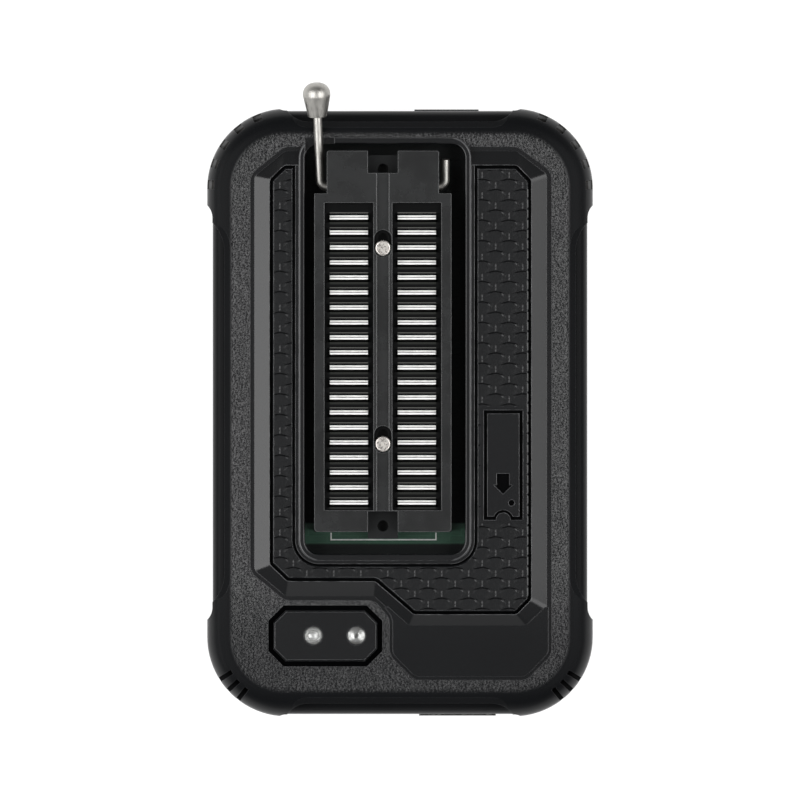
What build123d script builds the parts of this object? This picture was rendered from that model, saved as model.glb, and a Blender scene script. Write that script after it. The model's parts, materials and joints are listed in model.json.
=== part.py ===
"""USB microcontroller programmer: a hand-sized black case round a 40-pin lever socket.

Millimetres. +X is to the right and +Y towards the lever end with the socket facing up, +Z is up.
The origin is the middle of the case in plan, on the surface that the rubber feet stand on.
"""
from build123d import *
from math import cos, radians, sin, sqrt
import os

OVERCUT = 1.0  # how far a cutting shape runs past the faces that it cuts through
ROOT = 0.5  # how far a shape that is fused to another runs into it

# ---- levels: the board stands as high as the chip socket asks, and never lower than the USB
# ---- socket under it allows
FOOT_HEIGHT = 0.6
CASE_HEIGHT = 22.4
CASE_BOTTOM = FOOT_HEIGHT
CASE_TOP = CASE_BOTTOM + CASE_HEIGHT
FLOOR_THICKNESS = 1.8
ROOF_THICKNESS = 2.2
BOARD_THICKNESS = 1.6
BASE_HEIGHT = 8.2
COVER_GAP = 0.05
COVER_HEIGHT = 3.35
SOCKET_PROUD = 3.8
USB_HEIGHT = 10.9
USB_FLOOR_GAP = 0.3
FLOOR_Z = CASE_BOTTOM + FLOOR_THICKNESS
ROOF_Z = CASE_TOP - ROOF_THICKNESS
BOARD_TOP = max(CASE_TOP + SOCKET_PROUD - COVER_HEIGHT - COVER_GAP - BASE_HEIGHT,
                FLOOR_Z + USB_FLOOR_GAP + USB_HEIGHT + BOARD_THICKNESS)
BOARD_BOTTOM = BOARD_TOP - BOARD_THICKNESS

# ---- case outline ------------------------------------------------------------------------------
CASE_WIDTH = 65.4
CASE_LENGTH = 103.1
HALF_WIDTH = CASE_WIDTH / 2
HALF_LENGTH = CASE_LENGTH / 2
CORNER_RADIUS = 13.5
TOP_EDGE_RADIUS = 4.2
BOTTOM_EDGE_RADIUS = 2.6
CORNER_X = HALF_WIDTH - CORNER_RADIUS
CORNER_Y = HALF_LENGTH - CORNER_RADIUS

# ---- flats and finger scoops between the corner bumpers ----------------------------------------
SIDE_FLAT_DEPTH = 0.9
SIDE_FLAT_SPAN = 72.0
SIDE_FLAT_RADIUS = 3.0
END_FLAT_DEPTH = 0.35
END_FLAT_SPAN = 43.4
END_FLAT_RADIUS = 2.4
SIDE_SCOOP_DEPTH = 2.05
END_SCOOP_DEPTH = 1.9
SCOOP_RISE = 2.6
SCOOP_BEVEL = 1.1
SCOOP_REACH = 9.0
FLAT_REACH = 6.0
SIDE_SCOOP_SPAN = 68.4
SIDE_SCOOP_RADIUS = 7.0
END_SCOOP_SPAN = 39.8
END_SCOOP_RADIUS = 4.4
WALL_X = HALF_WIDTH - SIDE_FLAT_DEPTH
WALL_Y = HALF_LENGTH - END_FLAT_DEPTH
SCOOP_X = WALL_X - SIDE_SCOOP_DEPTH
SCOOP_Y = WALL_Y - END_SCOOP_DEPTH
SCOOP_FLOOR_Z = BOARD_BOTTOM + SCOOP_RISE

# ---- grip marks on the corners -----------------------------------------------------------------
PAD_COUNT = 5
PAD_WIDTH = 1.55
PAD_REACH = 1.2
PAD_DROP = 5.4
PAD_FLOOR_Z = CASE_TOP - PAD_DROP
PAD_FIRST_ANGLE = 22.7
PAD_PITCH_ANGLE = 16.2
GROOVE_COUNT = 3
GROOVE_WIDTH = 0.8
GROOVE_REACH = 2.5
GROOVE_DROP = 7.0
GROOVE_FLOOR_Z = CASE_TOP - GROOVE_DROP
GROOVE_FIRST_ANGLE = 37.9
GROOVE_PITCH_ANGLE = 9.8

# ---- hollow inside, parting line and lip -------------------------------------------------------
WALL_THICKNESS = 2.2
CAVITY_X = WALL_X - WALL_THICKNESS
CAVITY_Y = WALL_Y - WALL_THICKNESS
CAVITY_RADIUS = CORNER_RADIUS - WALL_THICKNESS
SCOOP_WALL = 2.0
UPPER_CAVITY_X = SCOOP_X - SCOOP_WALL
UPPER_CAVITY_Y = SCOOP_Y - SCOOP_WALL
UPPER_CAVITY_RADIUS = 9.0
LEDGE_GAP = 0.1
LEDGE_Z = BOARD_TOP + LEDGE_GAP
SEAM = 0.2
PARTING_Z = BOARD_BOTTOM
LIP_HEIGHT = 1.0
LIP_WIDTH = 0.8
LIP_CLEARANCE = 0.08
LIP_TOP = PARTING_Z + LIP_HEIGHT

# ---- raised panel on the top, and the bare plate beside it -------------------------------------
RECESS_DEPTH = 0.25
PANEL_HEIGHT = 1.2
PANEL_TOP = CASE_TOP + PANEL_HEIGHT
PANEL_CREST = 0.08
PANEL_GROOVE = 0.46
PANEL_GROOVE_DEPTH = 1.1
FIELD_DROP = 0.2
FIELD_CHAMFER = 0.22
FIELD_TOP = PANEL_TOP - FIELD_DROP
GROOVE_FLOOR = PANEL_TOP - PANEL_GROOVE_DEPTH
RIM_COLLAR = 0.6
RIM_GROOVE = 0.35
ZONE_OUTLINE = [
    (-25.4, 40.3), (-19.6, 45.0), (19.9, 45.0), (25.7, 40.8), (25.7, -41.0), (21.5, -45.3),
    (2.4, -45.3), (-1.8, -41.1), (-1.8, -34.9), (-4.3, -31.8), (-19.5, -31.8), (-25.4, -27.0),
]
BEVEL_FOOT = [
    (-24.65, 40.0), (-19.4, 44.3), (19.7, 44.3), (24.85, 40.4), (24.85, -33.2), (21.6, -36.3),
    (1.4, -36.3), (-4.4, -31.1), (-19.4, -31.1), (-24.65, -26.7),
]
BEVEL_HEAD = [
    (-22.15, 39.5), (-19.6, 41.95), (19.8, 41.95), (22.3, 39.4), (22.3, -31.7), (19.8, -34.25),
    (2.3, -34.25), (-4.2, -28.65), (-19.1, -28.65), (-22.15, -25.7),
]
ZONE_CORNER_RADIUS = 2.5
BEVEL_CORNER_RADIUS = 1.2
NAMEPLATE_INSET = 0.55
NAMEPLATE_RISE = 0.18
NAMEPLATE_TOP_Y = -33.0

# ---- chip symbol moulded into the panel --------------------------------------------------------
SYMBOL_FRAME = (14.2, 20.8, -18.2, 0.4)
SYMBOL_MARGIN = 0.58
SYMBOL_DEPTH = 0.75
SYMBOL_NOTCH_RADIUS = 1.68
SYMBOL_TAB_RADIUS = 1.26
SYMBOL_ENGRAVING = 0.6
ARROW_SHAFT = (16.4, 18.5, -12.3, -10.35)
ARROW_HALF_WIDTH = 1.55
ARROW_TIP_Y = -13.8
DOT_CENTRE = (18.9, -15.3)
DOT_RADIUS = 0.5

# ---- plate round the two lamps -----------------------------------------------------------------
LED_GROOVE = (-22.3, -3.0, -43.0, -32.7)
LED_GROOVE_CHAMFER = 2.6
LED_GROOVE_DEPTH = 1.0
LED_PLATE_MARGIN = 0.85
LED_PLATE_CHAMFER = 2.1
LED_PLATE_THICKNESS = 1.3
LED_PLATE_EDGE = 0.25
LED_PLATE_CLEARANCE = 0.05
LED_CENTRES = [(-14.7, -37.8), (-7.4, -37.8)]
LED_RADIUS = 1.5
LED_FLANGE_RADIUS = 1.9
LED_FLANGE_HEIGHT = 0.9
LED_BODY_HEIGHT = 4.9
LED_PROUD = 0.9
LED_TOP = CASE_TOP + LED_PROUD
LED_BASE = LED_TOP - LED_BODY_HEIGHT
LED_CLEARANCE = 0.1
LED_LEG_PITCH = 1.27
LED_LEG_SIZE = 0.5
LEG_BELOW_BOARD = 1.2

# ---- pocket in the top shell -------------------------------------------------------------------
POCKET = (-16.1, 11.0, -24.0, 45.5)
POCKET_RADIUS = 2.4
RIM_WIDTH = 1.05
RIM_HEIGHT = 1.6
RIM_EDGE_RADIUS = 0.28
RIM_TOP = CASE_TOP + RIM_HEIGHT
WELL_GAP = 0.3
LEVER_GAP = (-16.1, -11.1)
LEVER_GAP_DEPTH = 0.3

# ---- screws, bosses, feet ----------------------------------------------------------------------
SCREW_X = 22.3
SCREW_Y = 39.0
BOSS_RADIUS = 3.0
SCREW_RADIUS = 1.1
SCREW_HEAD_RADIUS = 2.2
SCREW_HEAD_HEIGHT = 1.6
SCREW_HEAD_DEPTH = 3.4
SCREW_SEAT = CASE_BOTTOM + SCREW_HEAD_DEPTH
SCREW_TIP_COVER = 1.8
SCREW_TIP_ROOM = 0.5
SCREW_TIP = ROOF_Z - SCREW_TIP_COVER
SCREW_SLOT = 0.5
SCREW_SLOT_REACH = 1.3
SCREW_SLOT_DEPTH = 0.9
SCREW_HEAD_EDGE = 0.5
SCREW_FIT = 0.02
HEAD_CLEARANCE = 0.2
SCREW_PASSAGE = 0.15
FOOT_X = 21.0
FOOT_Y = 28.5
FOOT_RADIUS = 4.0
FOOT_RECESS = 0.7
FOOT_CLEARANCE = 0.05

# ---- lever socket ------------------------------------------------------------------------------
PITCH = 2.54
ROWS = 20
SOCKET_X = -2.9
ROW_OFFSET = 5.75
FIRST_ROW_Y = 32.97
SOCKET_WIDTH = 23.2
HEAD_WIDTH = 18.96
BASE_END_LOW = -20.2
TONGUE_END = -21.35
BASE_END_HIGH = 43.6
SHOULDER_Y = 37.06
COVER_END_LOW = -20.2
COVER_END_HIGH = 44.3
COVER_CORNER = 0.7
TAB_NOTCH_HALF = 2.54
TOP_NOTCH_Y = 40.55
LOW_NOTCH_Y = -16.7
BASE_HOLE_RADIUS = 0.925
BASE_HOLE_DEPTH = 3.0
BASE_HOLES_Y = (41.2, -19.2)
LATTICE_WIDTH = 8.3
LATTICE_DROP = 0.8
LATTICE_THICKNESS = 1.1
SLOT_LENGTH = 1.5
BASE_Z = BOARD_TOP
BASE_TOP = BASE_Z + BASE_HEIGHT
COVER_BOTTOM = BASE_TOP + COVER_GAP
COVER_TOP = COVER_BOTTOM + COVER_HEIGHT
LATTICE_TOP = COVER_TOP - LATTICE_DROP
LATTICE_BOTTOM = LATTICE_TOP - LATTICE_THICKNESS

# ---- socket contacts ---------------------------------------------------------------------------
CONTACT_LENGTH = 6.5
CONTACT_WIDTH = 1.14
CONTACT_SHIFT = 0.14
LEAF = 0.28
LEAF_GAP = 0.1
LIP_TIP = 0.36
LIP_FALL = 0.75
LIP_EDGE = 0.25
CONTACT_ROOT = 1.2
CONTACT_DEPTH = 5.0
CONTACT_TOP_GAP = 0.1
CONTACT_FIT = 0.02
PIN_WIDTH = 0.5
PIN_THICKNESS = 0.35
PIN_HOLE_RADIUS = 0.45

# ---- lever: a bent wire with a crank in its cross shaft ----------------------------------------
WIRE_RADIUS = 0.75
CAM_Y = 38.2
CAM_HEIGHT = 7.0
CAM_Z = BASE_Z + CAM_HEIGHT
LEVER_REST_ANGLE = 12.0
LEVER_SWING = 75.0
CRANK_THROW = 1.3
CRANK_START_ANGLE = 90.0 - LEVER_SWING / 2
CRANK_CLEARANCE = 0.08
JOURNAL_CLEARANCE = 0.04
SWEEP_CLEARANCE = 0.15
BEND_CLEARANCE = 0.3
SADDLE_MOUTH = 0.65
JOURNAL_END = 1.9
CRANK_STEP = 1.2
CRANK_BEND_RADIUS = 1.1
ARM_GAP = 0.34
ARM_LEAN = 0.65
ARM_BEND_RADIUS = 1.4
STUB_LENGTH = 4.8
KNOB_START = 12.25
KNOB_LENGTH = 5.75
KNOB_BASE_RADIUS = 1.6
KNOB_RADIUS = 2.33
KNOB_WIDEST = 3.6
KNOB_BORE_DEPTH = 3.8
KNOB_SHOULDER_RADIUS = 1.2
KNOB_CROWN_RADIUS = 1.9
KNOB_FIT = 0.02
STEP_INSET = 0.62
DRIVER_HALF = 2.3
DRIVER_DROP = 1.05
COVER_TRAVEL = 2 * CRANK_THROW * cos(radians(CRANK_START_ANGLE))

# ---- rivets through the cover ------------------------------------------------------------------
RIVET_YS = (27.84, -5.33)
RIVET_HEAD_RADIUS = 1.375
RIVET_HEAD_HEIGHT = 0.6
RIVET_RADIUS = 0.8
RIVET_DEPTH = 3.5
RIVET_SEAT = 1.0
RIVET_CLEARANCE = 0.12
RIVET_FIT = 0.02
CHANNEL_WIDTH = 2.1
CHANNEL_DEPTH = 0.45

# ---- connectors under the board ----------------------------------------------------------------
USB_X = 9.75
USB_WIDTH = 12.04
USB_DEPTH = 16.0
USB_SHEET = 0.35
USB_CAVITY = (8.5, 7.8, 9.2)
USB_CAVITY_CHAMFER = 1.6
USB_TONGUE = (5.6, 3.2, 7.6)
USB_CONTACT = (1.0, 0.25)
USB_CONTACT_OFFSET = 1.25
USB_LEG = (1.4, 0.35)
USB_LEG_HOLE = 0.85
USB_LEG_SETBACK = 5.0
USB_BACK_WINDOW = 3.0
USB_MOULDING_SETBACK = 0.3
USB_TAIL_SETBACK = 0.6
USB_CONTACT_SETBACK = 0.6
USB_TAIL_PITCH = 2.0
TAIL_ABOVE_BOARD = 0.8
USB_FLANGE = 0.48
USB_FLANGE_THICKNESS = 0.25
USB_FLANGE_GAP = 0.02
ISP_X = 7.9
ISP_WIDTH = 10.9
ISP_HEIGHT = 7.7
ISP_DEPTH = 9.0
ISP_WALL = 1.2
ISP_BACK = 1.8
ISP_PROUD = 0.27
ISP_PIN = 0.64
ISP_PIN_SETBACK = 1.2
ISP_KEY_WIDTH = 3.6
ISP_TAIL_SETBACK = 1.0
PORT_CLEARANCE = 0.12

# ---- parts on the board ------------------------------------------------------------------------
BOARD_CLEARANCE = 0.3
LEAD_HOLE_CLEARANCE = 0.15
RIGHT_LANE_X = (POCKET[1] + RIM_WIDTH + UPPER_CAVITY_X) / 2
LEFT_LANE_X = (POCKET[0] - RIM_WIDTH - UPPER_CAVITY_X) / 2
CONTROL_CHIP = (RIGHT_LANE_X, 4.0, 10.0, 10.0, 1.4)
CONTROL_LEADS_PER_SIDE = 8
CONTROL_LEAD_PITCH = 1.0
DRIVER_CHIPS = [(LEFT_LANE_X, -16.0), (LEFT_LANE_X, 0.0), (LEFT_LANE_X, 16.0)]
DRIVER_BODY = (3.9, 9.9, 1.5)
DRIVER_LEADS_PER_SIDE = 7
DRIVER_LEAD_PITCH = 1.27
LEAD_WIDTH = 0.42
LEAD_THICKNESS = 0.2
LEAD_REACH = 1.0
LEAD_KNEE = 0.45
CHIP_STANDOFF = 0.1
CHIP_BEVEL = 0.35
CRYSTAL = (RIGHT_LANE_X, 22.0, 4.7, 11.2, 3.5)
CRYSTAL_FLANGE = 0.4
CRYSTAL_EDGE = 0.4
CRYSTAL_END_FLAT = 0.2
CRYSTAL_ROOM = 0.4
CAPACITOR_INSET = 12.1
CAPACITOR_PITCH = 8.5
CAPACITOR_Y = -29.0
CAPACITORS = [(CAPACITOR_INSET - CAVITY_X, CAPACITOR_Y),
              (CAPACITOR_INSET + CAPACITOR_PITCH - CAVITY_X, CAPACITOR_Y)]
CAPACITOR_RADIUS = 3.15
CAPACITOR_HEIGHT = 7.0
CAPACITOR_BAND = 0.15
CRIMP_WIDTH = 0.8
CRIMP_SETBACK = 1.2
INDUCTOR_INSET = 10.6
INDUCTOR = (INDUCTOR_INSET - CAVITY_X, 26.0, 8.0, 4.0)
INDUCTOR_CORE_RADIUS = 2.6
INDUCTOR_FLANGE = 0.8

CORNERS = [(sx, sy) for sx in (-1, 1) for sy in (-1, 1)]


# ---- shared shapes -----------------------------------------------------------------------------
def box(x0, x1, y0, y1, z0, z1):
    """Return the block between two opposite corners."""
    middle = Pos((x0 + x1) / 2, (y0 + y1) / 2, (z0 + z1) / 2)
    return middle * Box(x1 - x0, y1 - y0, z1 - z0)


def rod(x, y, z0, z1, radius):
    """Return an upright cylinder."""
    return Pos(x, y, (z0 + z1) / 2) * Cylinder(radius, z1 - z0)


def rounded_block(x0, x1, y0, y1, z0, z1, radius):
    """Return an upright block with rounded upright edges."""
    outline = RectangleRounded(x1 - x0, y1 - y0, radius)
    return Pos((x0 + x1) / 2, (y0 + y1) / 2, z0) * extrude(outline, z1 - z0)


def chamfered_block(x0, x1, y0, y1, z0, z1, size):
    """Return an upright block with chamfered upright edges."""
    outline = Rectangle(x1 - x0, y1 - y0)
    outline = chamfer(outline.vertices(), size)
    return Pos((x0 + x1) / 2, (y0 + y1) / 2, z0) * extrude(outline, z1 - z0)


def outline_face(points, z, radius):
    """Return a flat face on a closed outline with rounded corners, at a height."""
    outline = make_face(Polyline(*points, close=True))
    return Pos(0, 0, z) * fillet(outline.vertices(), radius)


def stadium(x, y0, y1, z0, z1, radius):
    """Return an upright slot shape with round ends, lying along Y."""
    slot = box(x - radius, x + radius, y0, y1, z0, z1)
    return slot + rod(x, y0, z0, z1, radius) + rod(x, y1, z0, z1, radius)


def group(solids):
    """Return separate solids as one compound."""
    return Compound(children=[solid.solid() for solid in solids])


# ---- case --------------------------------------------------------------------------------------
def flat_cutter(inner, span, radius):
    """Return the block that trims one long side wall, with rounded run-outs."""
    block = box(inner, inner + FLAT_REACH, -span / 2, span / 2, CASE_BOTTOM - OVERCUT,
                CASE_TOP + OVERCUT)
    return fillet(block.edges().filter_by(Axis.Z).group_by(Axis.X)[0], radius)


def scoop_cutter(inner, depth, span, corner_radius):
    """Return the cut of a finger scoop: upright wall, bevelled mouth and a rounded shoulder."""
    outer = inner + depth + SCOOP_REACH
    shoulder_z = SCOOP_FLOOR_Z - depth
    block = box(inner, outer, -span / 2, span / 2, shoulder_z, CASE_TOP + OVERCUT)
    block = fillet(block.edges().filter_by(Axis.Z).group_by(Axis.X)[0], corner_radius)
    block -= Pos(inner, 0, shoulder_z) * Rot(90, 0, 0) * Cylinder(depth, span + 2 * OVERCUT)
    mouth = rounded_block(inner, outer + span, -span / 2, span / 2, 0, OVERCUT, corner_radius)
    mouth = Pos(0, 0, CASE_TOP - SCOOP_BEVEL) * mouth.faces().sort_by(Axis.Z)[0]
    return block + extrude(mouth, SCOOP_BEVEL + ROOT, dir=(0, 0, 1), taper=-45)


def corner_cutters(count, first_angle, pitch_angle, width, reach, floor_z, end_sign):
    """Return radial blocks that mark the two corners of one end of the case."""
    cutters = []
    for side in (-1, 1):
        for index in range(count):
            angle = 90 * end_sign + side * end_sign * (first_angle + index * pitch_angle)
            block = box(CORNER_RADIUS - reach, CORNER_RADIUS + OVERCUT, -width / 2, width / 2,
                        floor_z, CASE_TOP + OVERCUT)
            place = Pos(-side * CORNER_X, end_sign * CORNER_Y, 0) * Rot(0, 0, angle)
            cutters.append(place * block)
    return cutters


def case_block():
    """Return the whole outside of the case as one solid, bumpers, scoops and grips included."""
    case = rounded_block(-HALF_WIDTH, HALF_WIDTH, -HALF_LENGTH, HALF_LENGTH,
                         CASE_BOTTOM, CASE_TOP, CORNER_RADIUS)
    case = fillet(case.faces().sort_by(Axis.Z)[-1].edges(), TOP_EDGE_RADIUS)
    case = fillet(case.faces().sort_by(Axis.Z)[0].edges(), BOTTOM_EDGE_RADIUS)
    side_flat = flat_cutter(WALL_X, SIDE_FLAT_SPAN, SIDE_FLAT_RADIUS)
    end_flat = flat_cutter(WALL_Y, END_FLAT_SPAN, END_FLAT_RADIUS)
    side_scoop = scoop_cutter(SCOOP_X, SIDE_SCOOP_DEPTH, SIDE_SCOOP_SPAN, SIDE_SCOOP_RADIUS)
    end_scoop = scoop_cutter(SCOOP_Y, END_SCOOP_DEPTH, END_SCOOP_SPAN, END_SCOOP_RADIUS)
    for turn in (0, 180):
        case -= Rot(0, 0, turn) * side_flat
        case -= Rot(0, 0, turn + 90) * end_flat
        case -= Rot(0, 0, turn) * side_scoop
        case -= Rot(0, 0, turn + 90) * end_scoop
    case -= corner_cutters(PAD_COUNT, PAD_FIRST_ANGLE, PAD_PITCH_ANGLE, PAD_WIDTH, PAD_REACH,
                           PAD_FLOOR_Z, 1)
    case -= corner_cutters(GROOVE_COUNT, GROOVE_FIRST_ANGLE, GROOVE_PITCH_ANGLE, GROOVE_WIDTH,
                           GROOVE_REACH, GROOVE_FLOOR_Z, -1)
    return case


def cavity(half_x, half_y, radius, z0, z1):
    """Return a rounded block centred on the case."""
    return rounded_block(-half_x, half_x, -half_y, half_y, z0, z1, radius)


def ring_of_lip(clearance):
    """Return the lip that keys the two shells together, grown outwards by a clearance."""
    grow = LIP_WIDTH + clearance
    outside = cavity(CAVITY_X + grow, CAVITY_Y + grow, CAVITY_RADIUS + grow,
                     PARTING_Z - SEAM / 2, LIP_TOP)
    return outside - cavity(CAVITY_X, CAVITY_Y, CAVITY_RADIUS, PARTING_Z - OVERCUT, LIP_TOP + OVERCUT)


def port_openings():
    """Return the cuts that let the two connectors through the end walls."""
    usb_half = USB_WIDTH / 2 + PORT_CLEARANCE
    isp_half = ISP_WIDTH / 2 + PORT_CLEARANCE
    usb = box(USB_X - usb_half, USB_X + usb_half, -HALF_LENGTH - OVERCUT, -CAVITY_Y + OVERCUT,
              BOARD_BOTTOM - USB_HEIGHT - PORT_CLEARANCE, LIP_TOP + OVERCUT)
    isp = box(ISP_X - isp_half, ISP_X + isp_half, CAVITY_Y - OVERCUT, HALF_LENGTH + OVERCUT,
              BOARD_BOTTOM - ISP_HEIGHT - PORT_CLEARANCE, LIP_TOP + OVERCUT)
    return [usb, isp]


def screw_places():
    """Return the four screw positions in plan."""
    return [(sx * SCREW_X, sy * SCREW_Y) for sx, sy in CORNERS]


def foot_places():
    """Return the four foot positions in plan."""
    return [(sx * FOOT_X, sy * FOOT_Y) for sx, sy in CORNERS]


def bottom_shell(case):
    """Return the lower shell: walls, lip, bosses, foot recesses and connector openings."""
    shell = case & box(-CASE_WIDTH, CASE_WIDTH, -CASE_LENGTH, CASE_LENGTH,
                       0, PARTING_Z - SEAM / 2)
    shell -= cavity(CAVITY_X, CAVITY_Y, CAVITY_RADIUS, FLOOR_Z, PARTING_Z)
    shell += ring_of_lip(0)
    for x, y in screw_places():
        shell += rod(x, y, FLOOR_Z - ROOT, BOARD_BOTTOM, BOSS_RADIUS)
    for x, y in screw_places():
        shell -= rod(x, y, 0, BOARD_BOTTOM + OVERCUT, SCREW_RADIUS + SCREW_PASSAGE)
        shell -= rod(x, y, 0, SCREW_SEAT, SCREW_HEAD_RADIUS + HEAD_CLEARANCE)
    for x, y in foot_places():
        shell -= rod(x, y, 0, CASE_BOTTOM + FOOT_RECESS, FOOT_RADIUS + FOOT_CLEARANCE)
    for opening in port_openings():
        shell -= opening
    return shell


def chip_symbol():
    """Return the cuts of the moulded chip symbol: a groove round a notched plate, an arrow, a dot."""
    x0, x1, y0, y1 = SYMBOL_FRAME
    floor_z = FIELD_TOP - SYMBOL_DEPTH
    middle = (x0 + x1) / 2
    plate = box(x0 + SYMBOL_MARGIN, x1 - SYMBOL_MARGIN, y0 + SYMBOL_MARGIN, y1 - SYMBOL_MARGIN,
                floor_z, PANEL_TOP)
    plate -= rod(middle, y0, floor_z, PANEL_TOP, SYMBOL_NOTCH_RADIUS)
    frame = box(x0, x1, y0, y1, floor_z, PANEL_TOP) - plate
    frame -= rod(middle, y0, floor_z, PANEL_TOP, SYMBOL_TAB_RADIUS)
    shaft_x0, shaft_x1, shaft_y0, shaft_y1 = ARROW_SHAFT
    shaft_middle = (shaft_x0 + shaft_x1) / 2
    head = make_face(Polyline((shaft_middle - ARROW_HALF_WIDTH, shaft_y0),
                              (shaft_middle, ARROW_TIP_Y),
                              (shaft_middle + ARROW_HALF_WIDTH, shaft_y0), close=True))
    engraved_z = FIELD_TOP - SYMBOL_ENGRAVING
    arrow = box(shaft_x0, shaft_x1, shaft_y0, shaft_y1, engraved_z, PANEL_TOP)
    arrow += Pos(0, 0, engraved_z) * extrude(head, PANEL_TOP - engraved_z)
    dot = rod(DOT_CENTRE[0], DOT_CENTRE[1], engraved_z, PANEL_TOP, DOT_RADIUS)
    return [frame, arrow, dot]


def pocket_block(grow, z0, z1):
    """Return the pocket's outline, grown sideways, between two heights."""
    x0, x1, y0, y1 = POCKET
    return rounded_block(x0 - grow, x1 + grow, y0 - grow, y1 + grow, z0, z1, POCKET_RADIUS + grow)


def raised_panel():
    """Return the bevelled panel: a crest, a groove inside it, and the field that it frames."""
    foot = outline_face(BEVEL_FOOT, CASE_TOP - RECESS_DEPTH, BEVEL_CORNER_RADIUS)
    head = outline_face(BEVEL_HEAD, PANEL_TOP, BEVEL_CORNER_RADIUS)
    panel = loft([foot, head], ruled=True)
    outline = outline_face(BEVEL_HEAD, GROOVE_FLOOR, BEVEL_CORNER_RADIUS)
    inside = extrude(offset(outline, -PANEL_CREST), PANEL_GROOVE_DEPTH + OVERCUT)
    panel -= inside
    field = extrude(offset(outline, -PANEL_CREST - PANEL_GROOVE), FIELD_TOP - GROOVE_FLOOR)
    field -= pocket_block(RIM_WIDTH + RIM_COLLAR + RIM_GROOVE, GROOVE_FLOOR, PANEL_TOP)
    field = chamfer(field.faces().sort_by(Axis.Z)[-1].edges(), FIELD_CHAMFER)
    collar = pocket_block(RIM_WIDTH + RIM_COLLAR, GROOVE_FLOOR, FIELD_TOP)
    return panel + field + (collar & inside)


def nameplate():
    """Return the low bare plate beside the foot of the panel."""
    outline = outline_face(ZONE_OUTLINE, CASE_TOP - RECESS_DEPTH, ZONE_CORNER_RADIUS)
    plate = extrude(offset(outline, -NAMEPLATE_INSET), NAMEPLATE_RISE)
    return plate & box(-CASE_WIDTH, CASE_WIDTH, -CASE_LENGTH, NAMEPLATE_TOP_Y, ROOF_Z, CASE_TOP)


def rim():
    """Return the wall round the pocket, from the well up, with its two top edges rounded."""
    well_z = BOARD_TOP + WELL_GAP
    wall = pocket_block(RIM_WIDTH, well_z, RIM_TOP)
    wall -= pocket_block(0, well_z - OVERCUT, RIM_TOP + OVERCUT)
    return fillet(wall.faces().sort_by(Axis.Z)[-1].edges(), RIM_EDGE_RADIUS)


def led_plate_box(grow):
    """Return the lamp plate's plan limits, grown by a clearance."""
    x0, x1, y0, y1 = LED_GROOVE
    margin = LED_PLATE_MARGIN - grow
    return x0 + margin, x1 - margin, y0 + margin, y1 - margin


def crystal_room():
    """Return the room over the crystal, which cuts into the roof only where the case is lower."""
    x, y, width, length, height = CRYSTAL
    reach = CRYSTAL_FLANGE + CRYSTAL_ROOM
    return box(x - width / 2 - reach, x + width / 2 + reach, y - length / 2 - reach, y + length / 2 + reach,
               BOARD_TOP, BOARD_TOP + height + CRYSTAL_ROOM)


def top_shell(case):
    """Return the upper shell: raised panel, pocket with its rim and well, bosses and recesses."""
    shell = case & box(-CASE_WIDTH, CASE_WIDTH, -CASE_LENGTH, CASE_LENGTH,
                       PARTING_Z + SEAM / 2, CASE_TOP + OVERCUT)
    zone = outline_face(ZONE_OUTLINE, CASE_TOP - RECESS_DEPTH, ZONE_CORNER_RADIUS)
    shell -= extrude(zone, RECESS_DEPTH + OVERCUT)
    shell += raised_panel()
    shell += nameplate()
    shell -= cavity(CAVITY_X, CAVITY_Y, CAVITY_RADIUS, PARTING_Z, LEDGE_Z)
    shell -= cavity(UPPER_CAVITY_X, UPPER_CAVITY_Y, UPPER_CAVITY_RADIUS, PARTING_Z, ROOF_Z)
    shell -= crystal_room()
    shell -= ring_of_lip(LIP_CLEARANCE)
    shell -= pocket_block(RIM_WIDTH / 2, ROOF_Z - OVERCUT, PANEL_TOP + OVERCUT)
    shell += rim()
    shell -= box(LEVER_GAP[0], LEVER_GAP[1], POCKET[3] - POCKET_RADIUS, POCKET[3] + RIM_WIDTH,
                 CASE_TOP - LEVER_GAP_DEPTH, RIM_TOP + OVERCUT)
    for cut in chip_symbol():
        shell -= cut
    groove_x0, groove_x1, groove_y0, groove_y1 = LED_GROOVE
    shell -= chamfered_block(groove_x0, groove_x1, groove_y0, groove_y1,
                             CASE_TOP - LED_GROOVE_DEPTH, CASE_TOP + OVERCUT, LED_GROOVE_CHAMFER)
    shell -= chamfered_block(*led_plate_box(LED_PLATE_CLEARANCE),
                             CASE_TOP - LED_PLATE_THICKNESS, CASE_TOP + OVERCUT, LED_PLATE_CHAMFER)
    for x, y in LED_CENTRES:
        shell -= rod(x, y, ROOF_Z - OVERCUT, CASE_TOP + OVERCUT, LED_RADIUS + LED_CLEARANCE)
    for x, y in screw_places():
        shell += rod(x, y, BOARD_TOP, ROOF_Z + ROOT, BOSS_RADIUS)
    for x, y in screw_places():
        shell -= rod(x, y, BOARD_TOP - OVERCUT, SCREW_TIP + SCREW_TIP_ROOM, SCREW_RADIUS + SCREW_FIT)
    return shell


def led_plate():
    """Return the smooth eight-sided plate that the lamps look through."""
    plate = chamfered_block(*led_plate_box(0), CASE_TOP - LED_PLATE_THICKNESS, CASE_TOP,
                            LED_PLATE_CHAMFER)
    plate = chamfer(plate.faces().sort_by(Axis.Z)[-1].edges(), LED_PLATE_EDGE)
    for x, y in LED_CENTRES:
        plate -= rod(x, y, CASE_TOP - LED_PLATE_THICKNESS - OVERCUT, CASE_TOP + OVERCUT,
                     LED_RADIUS + LED_CLEARANCE)
    return plate


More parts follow.
